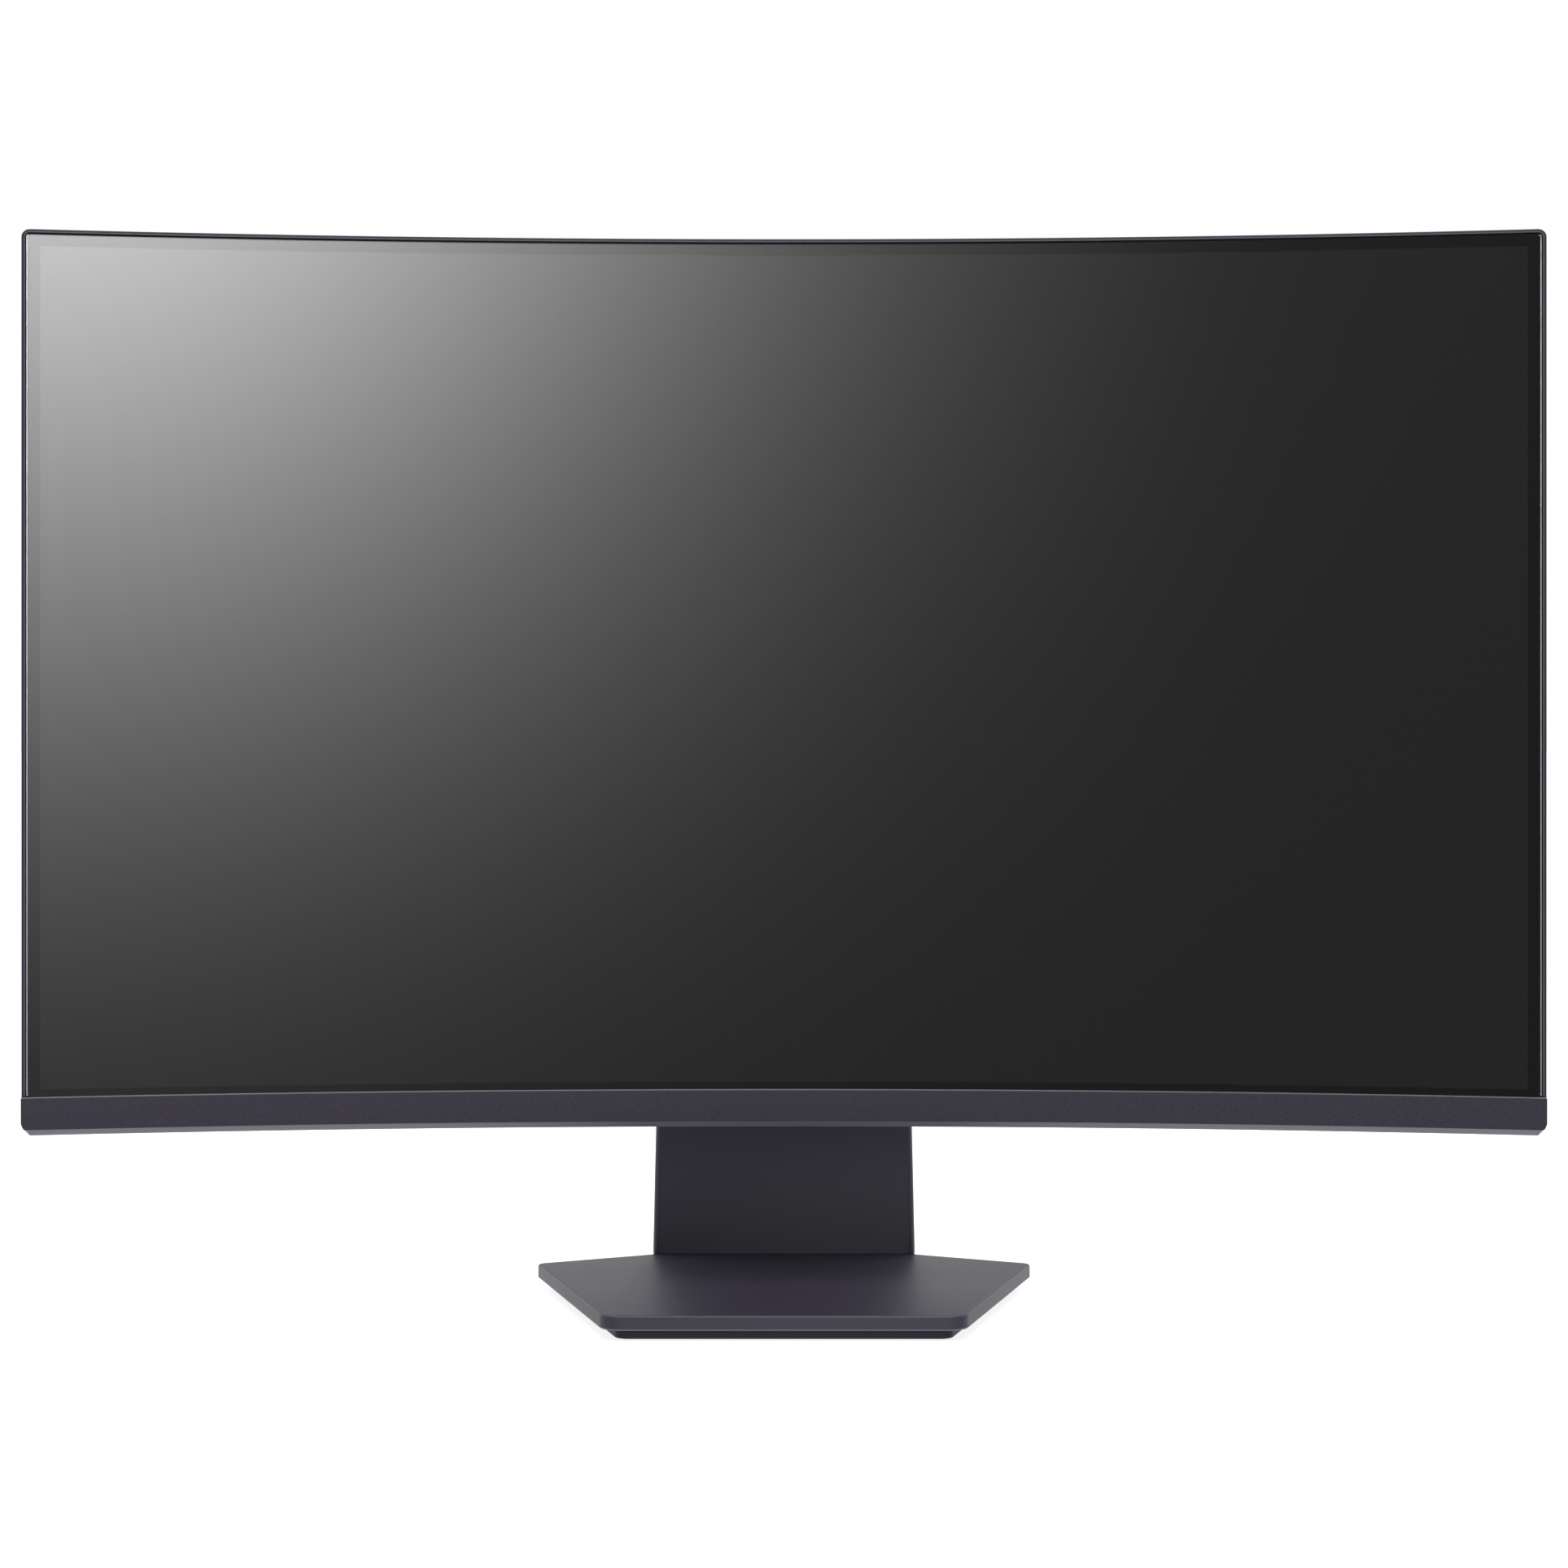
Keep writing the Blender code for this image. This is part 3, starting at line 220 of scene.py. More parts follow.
def screen_surface(name, colour, roughness, specular):
    """Anti-glare film: nearly black, with a very fine sparkle in its roughness."""
    material, tree, main, place = shader(name, colour, roughness, specular=specular)
    haze = noise(tree, place, HAZE_GRAIN, detail=1.0)
    cells = noise(tree, place, CELL_GRAIN, detail=1.0, stretch=(1, 1, 0.15))
    tint(tree, cells, [c * 0.9 for c in colour], [c * 1.1 for c in colour], main)
    link(remap(tree, haze, roughness - 0.02, roughness + 0.02), main.inputs["Roughness"])
    bump(tree, haze, main, HAZE_BUMP, 0.3)
    return material


def circuit_board(name):
    """Green solder mask over copper tracks."""
    colour = (0.012, 0.09, 0.04)
    material, tree, main, place = shader(name, colour, 0.35)
    tracks = node_of(tree, "TexBrick", scale=TRACK_GRAIN, offset=0.5)
    link(place, tracks.inputs["Vector"])
    tint(tree, tracks.outputs["Fac"], colour, (0.03, 0.17, 0.07), main)
    bump(tree, tracks.outputs["Fac"], main, TRACK_BUMP, 0.5)
    return material


VIOLET_GREY = (0.031, 0.0265, 0.045)
LOOKS = {
    "body": moulded("body_plastic", VIOLET_GREY, roughness=0.46, specular=0.3),
    "chin": moulded(
        "chin_plastic", (0.0245, 0.0205, 0.036), depth=0.00008, speckle=1.7, specular=0.22),
    "frame": moulded(
        "frame_plastic", (0.024, 0.020, 0.034), roughness=0.55, grain=2200.0, specular=0.15),
    # painted highlight: the frame's plastic made paler on the lip beside the glass, for the light
    # that falls on it
    "lip": moulded(
        "frame_lip_painted_highlight", (0.078, 0.074, 0.094), roughness=0.4, grain=2200.0, speckle=0.1,
        specular=0.25),
    # painted highlight: the chin's top round edge takes a pale colour for the light it catches
    # from above
    "line": moulded(
        "chin_edge_painted_highlight", (0.34, 0.325, 0.385), roughness=0.3, grain=2200.0, speckle=0.1),
    # painted highlight: the base's plastic made paler on the upper tier's top rounding and bottom
    # cut, for the light these edges catch
    "painted_edge_highlight": moulded(
        "base_edge_painted_highlight", (0.078, 0.072, 0.095), roughness=0.4, grain=2200.0, specular=0.35),
    # painted light: the chin's lower band is given a paler colour for the light the bright floor
    # throws and mirrors onto it
    "band": moulded("chin_band_painted_floor_light", (0.107, 0.102, 0.121), roughness=0.55, grain=1600.0),
    "black": moulded("black_plastic", (0.014, 0.014, 0.016), roughness=0.45),
    "white": moulded("white_plastic", (0.75, 0.75, 0.73)),
    "rubber": moulded("foot_rubber", (0.022, 0.022, 0.022), roughness=0.8, grain=900.0),
    "active": screen_surface("screen_active_area", (0.0065, 0.0065, 0.0065), 0.1, 0.5),
    "border": screen_surface("screen_border", (0.0005, 0.0005, 0.0005), 0.1, 0.45),
    "edge": screen_surface("glass_edge", (0.008, 0.008, 0.008), 0.1, 0.3),
    "steel": metal("plated_steel", (0.5, 0.5, 0.51), 0.32, stretch=(1, 1, 0.06)),
    "sheet": metal("sheet_steel", (0.4, 0.41, 0.42), 0.42, stretch=(0.08, 1, 1)),
    "gold": metal("contact_gold", (0.8, 0.55, 0.22), 0.25),
    "board": circuit_board("circuit_board"),
    "ribbon": moulded("ribbon_film", (0.7, 0.67, 0.55), roughness=0.4, speckle=0.05),
    "clear": moulded("clear_acrylic", (0.8, 0.84, 0.86), roughness=0.12, speckle=0.02),
}


# ------------------------------------------------------------------ mesh tools

def new_object(name, data):
    """Adds an object with its data to the scene."""
    obj = bpy.data.objects.new(name, data)
    bpy.context.scene.collection.objects.link(obj)
    return obj


TOUCHING = 0.000001  # metres


@contextmanager
def editing(mesh):
    """Opens a mesh for editing and writes it back at the end."""
    bm = bmesh.new()
    bm.from_mesh(mesh)
    yield bm
    bm.to_mesh(mesh)
    bm.free()


def finish_piece(obj, looks, body, stands_for=(), sharp=30):
    """Shades a mesh piece, gives it its looks and fastens it to its body."""
    mesh = obj.data
    mesh.shade_smooth()
    mesh.set_sharp_from_angle(angle=math.radians(sharp))
    for look in looks:
        mesh.materials.append(LOOKS[look])
    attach(obj, body)
    if stands_for:
        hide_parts(*stands_for)
    return obj


def object_from(name, verts, faces, place=straight, marks=None):
    """Makes an object from millimetre points; marks gives each face's look number."""
    mesh = bpy.data.meshes.new(name)
    mesh.from_pydata([place(v) * MM for v in verts], [], faces)
    if marks:
        mesh.polygons.foreach_set("material_index", marks)
    with editing(mesh) as bm:
        bmesh.ops.recalc_face_normals(bm, faces=bm.faces)
    return new_object(name, mesh)


def skin(rings, ends=True):
    """Points and faces over closed rings of equal length, with or without end faces."""
    count = len(rings[0])
    verts = [point for ring in rings for point in ring]
    faces = []
    for row in range(len(rings) - 1):
        for index in range(count):
            after = (index + 1) % count
            low, high = row * count, (row + 1) * count
            faces.append((low + index, low + after, high + after, high + index))
    if ends:
        faces.append(tuple(range(count))[::-1])
        faces.append(tuple(range((len(rings) - 1) * count, len(rings) * count)))
    return verts, faces


def joined(parts):
    """Points and faces of several meshes as one."""
    verts, faces = [], []
    for points, quads in parts:
        faces += [tuple(i + len(verts) for i in quad) for quad in quads]
        verts += points
    return verts, faces


def applied(obj, kind, **settings):
    """Gives an object a modifier with some settings, and applies it."""
    modifier = obj.modifiers.new(kind, kind)
    for key, value in settings.items():
        setattr(modifier, key, value)
    bpy.context.view_layer.update()
    depsgraph = bpy.context.evaluated_depsgraph_get()
    mesh = bpy.data.meshes.new_from_object(obj.evaluated_get(depsgraph))
    obj.modifiers.clear()
    obj.data = mesh


def cut(obj, tool):
    """Cuts a tool object out of a piece."""
    applied(obj, "BOOLEAN", operation="DIFFERENCE", solver="EXACT", object=tool)
    bpy.data.objects.remove(tool)


def thicken(obj, wall, outward):
    """Gives an open sheet a wall behind the side that faces outward."""
    with editing(obj.data) as bm:
        bmesh.ops.delete(bm, geom=[v for v in bm.verts if not v.link_faces], context="VERTS")
        bm.normal_update()
        if sum(f.normal.dot(outward) * f.calc_area() for f in bm.faces) < 0:
            bmesh.ops.reverse_faces(bm, faces=bm.faces)
    applied(obj, "SOLIDIFY", thickness=wall * MM, offset=-1.0)


def curve(obj):
    """Moves a mesh drawn in the screen's flat frame to its place in the world."""
    for vert in obj.data.vertices:
        vert.co = bent(vert.co / MM) * MM


def arc(centre, radius, start, end, steps):
    """Points of an arc in a plane, from start to end degrees."""
    points = []
    for step in range(steps + 1):
        angle = math.radians(start + (end - start) * step / steps)
        points.append((centre[0] + radius * math.cos(angle), centre[1] + radius * math.sin(angle)))
    return points


def turned(name, profile, axis, origin, place=straight, sides=40):
    """Spins a closed (radius, height) outline about an axis through an origin."""
    turn = Vector(axis).to_track_quat("Z", "Y").to_matrix()
    rings = []
    for step in range(sides):
        angle = 2 * math.pi * step / sides
        ring = [(r * math.cos(angle), r * math.sin(angle), h) for r, h in profile]
        rings.append([Vector(origin) + turn @ Vector(point) for point in ring])
    verts, faces = skin(rings + [rings[0]], ends=False)
    obj = object_from(name, verts, faces, place)
    with editing(obj.data) as bm:
        bmesh.ops.remove_doubles(bm, verts=bm.verts, dist=2 * TOUCHING)
        bmesh.ops.dissolve_degenerate(bm, edges=bm.edges, dist=TOUCHING)
        bmesh.ops.recalc_face_normals(bm, faces=bm.faces)
    return obj


def box_piece(name, low, high, place=straight, bevel=0.0):
    """Box between two millimetre corners, with rounded edges."""
    corners = [(x, y, z) for z in (low[2], high[2]) for x, y in (
        (low[0], low[1]), (high[0], low[1]), (high[0], high[1]), (low[0], high[1]))]
    verts, faces = skin([corners[:4], corners[4:]])
    obj = object_from(name, verts, faces, place)
    if bevel:
        applied(obj, "BEVEL", width=bevel * MM, segments=3, angle_limit=math.radians(30),
                harden_normals=False)
    return obj


def hoop(half, low, high, radius, steps=72, corner=6):
    """Up the left side, along the top and down the right, with round top corners."""
    points = [(-half, low)]
    points += arc((-half + radius, high - radius), radius, 180, 90, corner)
    for step in range(1, steps):
        points.append(((2 * step / steps - 1) * (half - radius), high))
    points += arc((half - radius, high - radius), radius, 90, 0, corner)
    points.append((half, low))
    return points


# --------------------------------------------------------------- display front

FRAME_LOW, FRAME_HIGH = span("front_frame")
CHIN_LOW, CHIN_HIGH = span("chin")
FRAME_DEPTH = 14.0
FRAME_WIDER = 0.15
FRAME_HIGHER = 0.3
GLASS_NARROWER = 0.5
FRAME_HALF = arc_half("front_frame", FRAME_DEPTH) + FRAME_WIDER
FRAME_TOP = FRAME_HIGH.z + FRAME_HIGHER
CHIN_HALF = arc_half("chin", FRAME_DEPTH)
GLASS_HALF = arc_half("lcd_panel", GLASS_THICKNESS) - GLASS_NARROWER
FRAME_WALL = 1.65
FRAME_PROUD = 0.8
FRAME_CORNER = 3.8
FRAME_ROUND = 1.15
LIP_ROUND = 0.2
BORDER_SIDE = 5.8
BORDER_TOP = 5.3
BORDER_BOTTOM = 3.4
GLASS_GAP = 0.15
GLASS_EDGE = 0.4
GLASS_ROUND = 1.7
GLASS_STEPS = (0.0, GLASS_EDGE, 0.8, 1.2, GLASS_ROUND)
SCREEN_COLUMNS = 120
GASKET_FRONT = 1.8
GASKET_BACK = 3.2
GASKET_OVERLAP = 0.1
GASKET_RISE = 0.5
GASKET_CORNER = 0.3


def front_frame():
    """Slim frame: dark round outer edge, a paler lip beside the glass that is a painted highlight,
    a dark inner wall.
    """
    outer = arc((FRAME_ROUND, FRAME_ROUND - FRAME_PROUD), FRAME_ROUND, 180, 262, 7)
    lip = FRAME_WALL - LIP_ROUND
    inner = arc((lip, LIP_ROUND - FRAME_PROUD), LIP_ROUND, 270, 360, 3)
    profile = [(0.0, FRAME_DEPTH), *outer, *inner, (FRAME_WALL, FRAME_DEPTH)]
    columns = []
    for inset, depth in profile:
        path = hoop(FRAME_HALF - inset, FRAME_LOW.z, FRAME_TOP - inset, FRAME_CORNER - inset)
        columns.append([(x, depth, z) for x, z in path])
    rings = [list(ring) for ring in zip(*columns)]
    verts, faces = skin(rings)
    # faces of the lip that carry the painted highlight colour
    highlight_faces = range(len(outer), len(outer) + len(inner) - 1)
    marks = [int(index % len(profile) in highlight_faces) for index in range(len(faces) - 2)] + [0, 0]
    obj = object_from("front_frame_finished", verts, faces, bent, marks)
    return finish_piece(obj, ["frame", "lip"], "display", ["front_frame"], 40)


def gasket():
    """Dark foam strip behind the gap between the frame and the glass."""
    columns = []
    outer, inner = FRAME_WALL - GASKET_OVERLAP, FRAME_HALF - GLASS_HALF
    for inset, depth in (
            (outer, GASKET_FRONT), (outer, GASKET_BACK),
            (inner, GASKET_BACK), (inner, GASKET_FRONT)):
        corner = max(FRAME_CORNER - inset, GASKET_CORNER)
        path = hoop(FRAME_HALF - inset, FRAME_LOW.z + GASKET_RISE, FRAME_TOP - inset, corner)
        columns.append([(x, depth, z) for x, z in path])
    verts, faces = skin([list(ring) for ring in zip(*columns)])
    obj = object_from("gasket", verts, faces, bent)
    return finish_piece(obj, ["rubber"], "display")


def round_corner(x, z, half, low, high, radius):
    """Moves a grid point near a corner of a panel onto nested round corners."""
    along = abs(x) - (half - radius)
    middle = (low + high) / 2
    above = abs(z - middle) - ((high - low) / 2 - radius)
    if along <= 0 or above <= 0:
        return x, z
    scale = max(along, above) / math.hypot(along, above)
    x = math.copysign(half - radius + along * scale, x)
    z = middle + math.copysign((high - low) / 2 - radius + above * scale, z - middle)
    return x, z


def screen():
    """Glass cell: polished edge, black border and the active area."""
    low, high = CHIN_HIGH.z + GLASS_GAP, GLASS_HIGH.z
    ends = [-GLASS_HALF + inset for inset in (*GLASS_STEPS, BORDER_SIDE)]
    inner = GLASS_HALF - BORDER_SIDE
    xs = ends + [inner * (2 * step / SCREEN_COLUMNS - 1) for step in range(1, SCREEN_COLUMNS)]
    xs += [-x for x in reversed(ends)]
    zs = [low + inset for inset in (*GLASS_STEPS, BORDER_BOTTOM)]
    zs += [high - inset for inset in (BORDER_TOP, *GLASS_STEPS[::-1])]
    verts = []
    for z in zs:
        for x in xs:
            moved = round_corner(x, z, GLASS_HALF, low, high, GLASS_ROUND)
            verts.append((moved[0], 0.0, moved[1]))
    faces, marks = [], []
    wide = len(xs)
    for row in range(len(zs) - 1):
        for col in range(wide - 1):
            start = row * wide + col
            faces.append((start, start + 1, start + 1 + wide, start + wide))
            across = min(col, wide - 2 - col)
            up = min(row, len(zs) - 2 - row)
            nearest = min(across, up)
            marks.append(0 if nearest == 0 else 1 if nearest < len(GLASS_STEPS) else 2)
    obj = object_from("screen_glass", verts, faces, straight, marks)
    thicken(obj, GLASS_THICKNESS, Vector((0, -1, 0)))
    curve(obj)
    return finish_piece(
        obj, ["edge", "border", "active"], "display", ["lcd_panel"], 15)


CHIN_FRONT = -3.0
CHIN_FACE_LOW = CHIN_LOW.z + 3.0
CHIN_SLOPE_BACK = 1.0
CHIN_TOP_ROUND = 0.8
CHIN_CUT_WIDTH = 4.3
CHIN_CUT_RISE = 6.4
CHIN_CUT_STRAIGHT = 0.55
CHIN_END_ROUND = 0.9
CHIN_END_DROP = 0.5
CHIN_END_GAP = 0.5
CHIN_END_STEP = 0.35
CHIN_END_STEPS = 16
CHIN_HALF_STEPS = 50
# faces of the chin's top round edge that carry the painted highlight colour
CHIN_HIGHLIGHT_FACES = 3
# faces of the chin's sloping lower band that carry the painted floor light colour
CHIN_BAND_FACES = 2
CREASE_BACK, CREASE_UP = 0.1, 0.15
KEEL_FRONT, KEEL_BACK, KEEL_UP = 0.3, 0.2, 0.1


def chin_rise(inward):
    """Height of the chin's lower edge above its bottom, at a distance from the end."""
    short = max(1.0 - inward / CHIN_CUT_WIDTH, 0.0)
    curved = 1.0 - math.sqrt(1.0 - short ** 2)
    return CHIN_CUT_RISE * (CHIN_CUT_STRAIGHT * short + (1 - CHIN_CUT_STRAIGHT) * curved)


def chin():
    """Bar under the glass: round top edge, textured face, sloping lower band; edge and band have
    painted light.
    """
    top, bottom = CHIN_HIGH.z, CHIN_LOW.z
    profile = [(FRAME_DEPTH, top)]
    profile += arc((CHIN_FRONT + CHIN_TOP_ROUND, top - CHIN_TOP_ROUND), CHIN_TOP_ROUND, 90, 180, 6)
    profile += [
        (CHIN_FRONT, CHIN_FACE_LOW + CREASE_UP), (CHIN_FRONT + CREASE_BACK, CHIN_FACE_LOW),
        (CHIN_SLOPE_BACK - KEEL_FRONT, bottom + KEEL_UP), (CHIN_SLOPE_BACK + KEEL_BACK, bottom),
        (FRAME_DEPTH, bottom)]
    ends = [CHIN_END_ROUND * (1 - math.cos(math.radians(a))) for a in range(0, 91, 10)]
    ends += [CHIN_END_ROUND + CHIN_END_STEP * (step + 1) for step in range(CHIN_END_STEPS)]
    inner = CHIN_HALF - ends[-1] - CHIN_END_GAP
    stations = [inset - CHIN_HALF for inset in ends]
    stations += [inner * (step / CHIN_HALF_STEPS - 1) for step in range(2 * CHIN_HALF_STEPS + 1)]
    stations += [CHIN_HALF - inset for inset in reversed(ends)]
    rings = []
    for x in stations:
        inward = CHIN_HALF - abs(x)
        into_end = max(CHIN_END_ROUND - inward, 0.0) / CHIN_END_ROUND
        inset = CHIN_END_ROUND * (1 - math.sqrt(1 - into_end ** 2))
        ring = []
        for y, z in profile:
            y += inset if y < FRAME_DEPTH else 0.0
            z = min(z, top - inset * CHIN_END_DROP)
            ring.append((x, y, max(z, bottom + chin_rise(inward))))
        rings.append(ring)
    verts, faces = skin(rings)
    count = len(profile)
    looks = {index: 1 for index in range(CHIN_HIGHLIGHT_FACES)}
    looks.update({count - 3 - index: 2 for index in range(CHIN_BAND_FACES)})
    marks = [looks.get(index % count, 0) for index in range(len(faces) - 2)] + [0, 0]
    obj = object_from("chin_finished", verts, faces, bent, marks)
    return finish_piece(
        obj, ["chin", "line", "band"], "display", ["chin"], 25)


# ---------------------------------------------------------------- display rear

COVER_EDGE = 17.0
COVER_SLAB = 26.0
COVER_HUMP = 48.0
COVER_CHAMFER = 17.0
COVER_WALL = 2.4
COVER_LOW_CORNER = 6.2
COVER_RIM_CORNER = 5.0
COVER_FILLET = 0.45
COVER_OVERLAP = 0.3
COVER_LOW, COVER_HIGH = span("rear_cover")
HUMP_HALF = 190.0
HUMP_HEIGHT = 132.0
HUMP_SLOPE = 22.0
HUMP_CORNER = 26.0
HUMP_FILLET = 0.28
GROOVE_OUT, GROOVE_HALF, GROOVE_DEPTH = 5.0, 1.4, 0.9
AXIS_Z = middle_z("hinge_shaft")
BRACKET_HALF = span("vesa_bracket")[1].x + 2.0
IO_X = -75.0
IO_HALF = 67.5
IO_GAP = 0.5
STICK_X = 290.0
STICK_Z = middle_z("joystick_housing")
STICK_HOLE = 8.0
STICK_HOLE_START = STICK_HOLE - 2.4
STICK_DISH = 15.0
DISH_DEPTH = 1.6
DISH_FILLET = 0.4
DISH_MARGIN = 2.0
FLAT_GRID, EDGE_GRID = 11, 12
LOW_GRID, HIGH_GRID = 4, 6
SLOPE_GRID, RIM_GRID, DISH_GRID = 2.6, 2.2, 1.6
GRID_GAP = 0.8
VENT_SUNK = 0.3
VENT_GAP = 0.3
VENT_DEEP = 2.5
VENT_PITCH = 10.0
VENT_MARGIN = 5.5
VENT_SLOT_RADIUS = 2.5
VENT_CUT_DEPTHS = (15, 40)
VENT_STRIPS = 24


def eased(t, fillet):
    """Ramp from 0 to 1 that is straight in the middle and round at both ends."""
    t = min(max(t, 0.0), 1.0)
    if t < fillet:
        return t * t / (2 * fillet * (1 - fillet))
    if t > 1 - fillet:
        return 1 - (1 - t) ** 2 / (2 * fillet * (1 - fillet))
    return (t - fillet / 2) / (1 - fillet)


def inside(x, z, half, height, corner):
    """Distance inward from the edge of a centred rectangle with round corners."""
    over_x = abs(x) - half + corner
    over_z = abs(z) - height + corner
    outside = math.hypot(max(over_x, 0), max(over_z, 0))
    return corner - outside - min(max(over_x, over_z), 0)


def cover_depth(x, z):
    """Depth of the rear cover's outer face, with a groove round the hump and a stick dish."""
    middle, height = (COVER_LOW.z + COVER_HIGH.z) / 2, (COVER_HIGH.z - COVER_LOW.z) / 2
    rim = inside(x, z - middle, FRAME_HALF, height, COVER_RIM_CORNER)
    hump = inside(x, z - AXIS_Z, HUMP_HALF, HUMP_HEIGHT, HUMP_CORNER)
    depth = COVER_EDGE + (COVER_SLAB - COVER_EDGE) * eased(rim / COVER_CHAMFER, COVER_FILLET)
    depth += (COVER_HUMP - COVER_SLAB) * eased(hump / HUMP_SLOPE, HUMP_FILLET)
    groove = abs(hump + GROOVE_OUT)
    depth -= GROOVE_DEPTH * max(0.0, 1.0 - (groove / GROOVE_HALF) ** 2)
    reach = math.hypot(x - STICK_X, z - STICK_Z)
    into_dish = (STICK_DISH - reach) / (STICK_DISH - STICK_HOLE)
    return depth - DISH_DEPTH * eased(into_dish, DISH_FILLET)


def spread(start, end, step):
    """Evenly spaced values from start up to, but not including, end."""
    count = max(1, round(abs(end - start) / step))
    return [start + (end - start) * index / count for index in range(count)]


def lines(marks):
    """Grid lines through (position, step to the next) marks, in order."""
    values = []
    for (start, step), (end, _) in zip(marks, marks[1:]):
        values += spread(start, end, step)
    return values + [marks[-1][0]]


def merged(values, extra):
    """Sorted grid lines with extra exact ones; close neighbours give way."""
    kept = [v for v in values if all(abs(v - e) > GRID_GAP for e in extra)]
    return sorted(kept + list(extra))


def rear_cover():
    """One-piece shell with a round rim, a raised middle and its openings."""
    low, high = COVER_LOW, COVER_HIGH
    io_low, io_high = span("io_panel")
    grille_low, grille_high = span("vent_grille")
    grille_half = arc_half("vent_grille", COVER_SLAB - VENT_SUNK) + VENT_GAP
    dish = STICK_DISH + DISH_MARGIN
    windows = [
        (-BRACKET_HALF, BRACKET_HALF, AXIS_Z - BRACKET_HALF, AXIS_Z + BRACKET_HALF),
        (IO_X - IO_HALF, IO_X + IO_HALF, io_low.z - IO_GAP, io_high.z + IO_GAP),
        (-grille_half, grille_half, grille_low.z - VENT_GAP, grille_high.z + VENT_GAP),
    ]
    rim, foot, crest = COVER_CHAMFER + 2, 8, HUMP_SLOPE + 10
    half_lines = lines([
        (0, FLAT_GRID), (HUMP_HALF - crest, SLOPE_GRID), (HUMP_HALF + foot, EDGE_GRID),
        (FRAME_HALF - rim, RIM_GRID), (FRAME_HALF, 1)])
    xs = sorted({-v for v in half_lines} | set(half_lines))
    xs = merged(xs, lines([(STICK_X - dish, DISH_GRID), (STICK_X + dish, 1)]))
    xs = merged(xs, [e for w in windows for e in w[:2]])
    hump_low, hump_high = AXIS_Z - HUMP_HEIGHT, AXIS_Z + HUMP_HEIGHT
    zs = lines([
        (low.z, RIM_GRID), (low.z + rim, LOW_GRID), (hump_low - foot, SLOPE_GRID),
        (hump_low + crest, FLAT_GRID), (hump_high - crest, SLOPE_GRID),
        (hump_high + foot, HIGH_GRID), (high.z - rim, RIM_GRID), (high.z, 1)])
    zs = merged(zs, lines([(STICK_Z - dish, DISH_GRID), (STICK_Z + dish, 1)]))
    zs = merged(zs, [e for w in windows for e in w[2:]])
    corners = {True: FRAME_CORNER, False: COVER_LOW_CORNER}
    verts = []
    for z in zs:
        for x in xs:
            radius = corners[z > AXIS_Z]
            moved = round_corner(x, z, FRAME_HALF, low.z, high.z, radius)
            verts.append((moved[0], cover_depth(x, z), moved[1]))
    wide = len(xs)
    faces = []
    for row in range(len(zs) - 1):
        for col in range(wide - 1):
            x = (xs[col] + xs[col + 1]) / 2
            z = (zs[row] + zs[row + 1]) / 2
            if any(a < x < b and c < z < d for a, b, c, d in windows):
                continue
            if math.hypot(x - STICK_X, z - STICK_Z) < STICK_HOLE_START:
                continue
            start = row * wide + col
            faces.append((start, start + 1, start + 1 + wide, start + wide))
    rim = [(col, 0) for col in range(wide)] + [(wide - 1, row) for row in range(1, len(zs))]
    rim += [(col, len(zs) - 1) for col in range(wide - 2, -1, -1)]
    rim += [(0, row) for row in range(len(zs) - 2, 0, -1)]
    first = len(verts)
    for col, row in rim:
        x, _, z = verts[row * wide + col]
        verts.append((x, FRAME_DEPTH + COVER_OVERLAP, z))
    for index, (col, row) in enumerate(rim):
        after = (index + 1) % len(rim)
        next_col, next_row = rim[after]
        faces.append((
            row * wide + col, next_row * wide + next_col, first + after, first + index))
    obj = object_from("rear_cover_finished", verts, faces, straight)
    thicken(obj, COVER_WALL, Vector((0, 1, 0)))
    hole = [(0, -20), (STICK_HOLE, -20), (STICK_HOLE, 20), (0, 20)]
    cut(obj, turned("stick_hole", hole, (0, 1, 0), (STICK_X, 20, STICK_Z), sides=48))
    curve(obj)
    return finish_piece(obj, ["body"], "display", ["rear_cover"], 38)


def vent_grille():
    """Strip of upright slots with round ends."""
    low, high = span("vent_grille")
    half = arc_half("vent_grille", COVER_SLAB - VENT_SUNK)
    count = int(2 * half / VENT_PITCH) - 1
    obj = box_piece(
        "vent_grille_finished", (-half, COVER_SLAB - VENT_DEEP, low.z),
        (half, COVER_SLAB - VENT_SUNK, high.z))
    slots = []
    for index in range(count):
        x = (index - (count - 1) / 2) * VENT_PITCH
        path = arc((x, high.z - VENT_MARGIN), VENT_SLOT_RADIUS, 0, 180, 8)
        path += arc((x, low.z + VENT_MARGIN), VENT_SLOT_RADIUS, 180, 360, 8)
        slots.append(skin([[(a, depth, b) for a, b in path] for depth in VENT_CUT_DEPTHS]))
    cut(obj, object_from("slots", *joined(slots)))
    with editing(obj.data) as bm:
        for step in range(1, VENT_STRIPS):
            x = (2 * step / VENT_STRIPS - 1) * half * MM
            geometry = bm.verts[:] + bm.edges[:] + bm.faces[:]
            bmesh.ops.bisect_plane(
                bm, geom=geometry, dist=TOUCHING, plane_co=(x, 0, 0), plane_no=(1, 0, 0))
    curve(obj)
    return finish_piece(obj, ["black"], "display", ["vent_grille"])


# ------------------------------------------------------------------------ stand

NECK_LOW, NECK_HIGH = span("neck_front_cover")
NECK_REAR_LOW, NECK_REAR_HIGH = span("neck_rear_cover")
NECK_TOP_HALF = 58.0
NECK_ROUND = 3.5
NECK_WALL = 2.4
FACING = 0.9  # smallest part of a unit normal that counts as facing a way


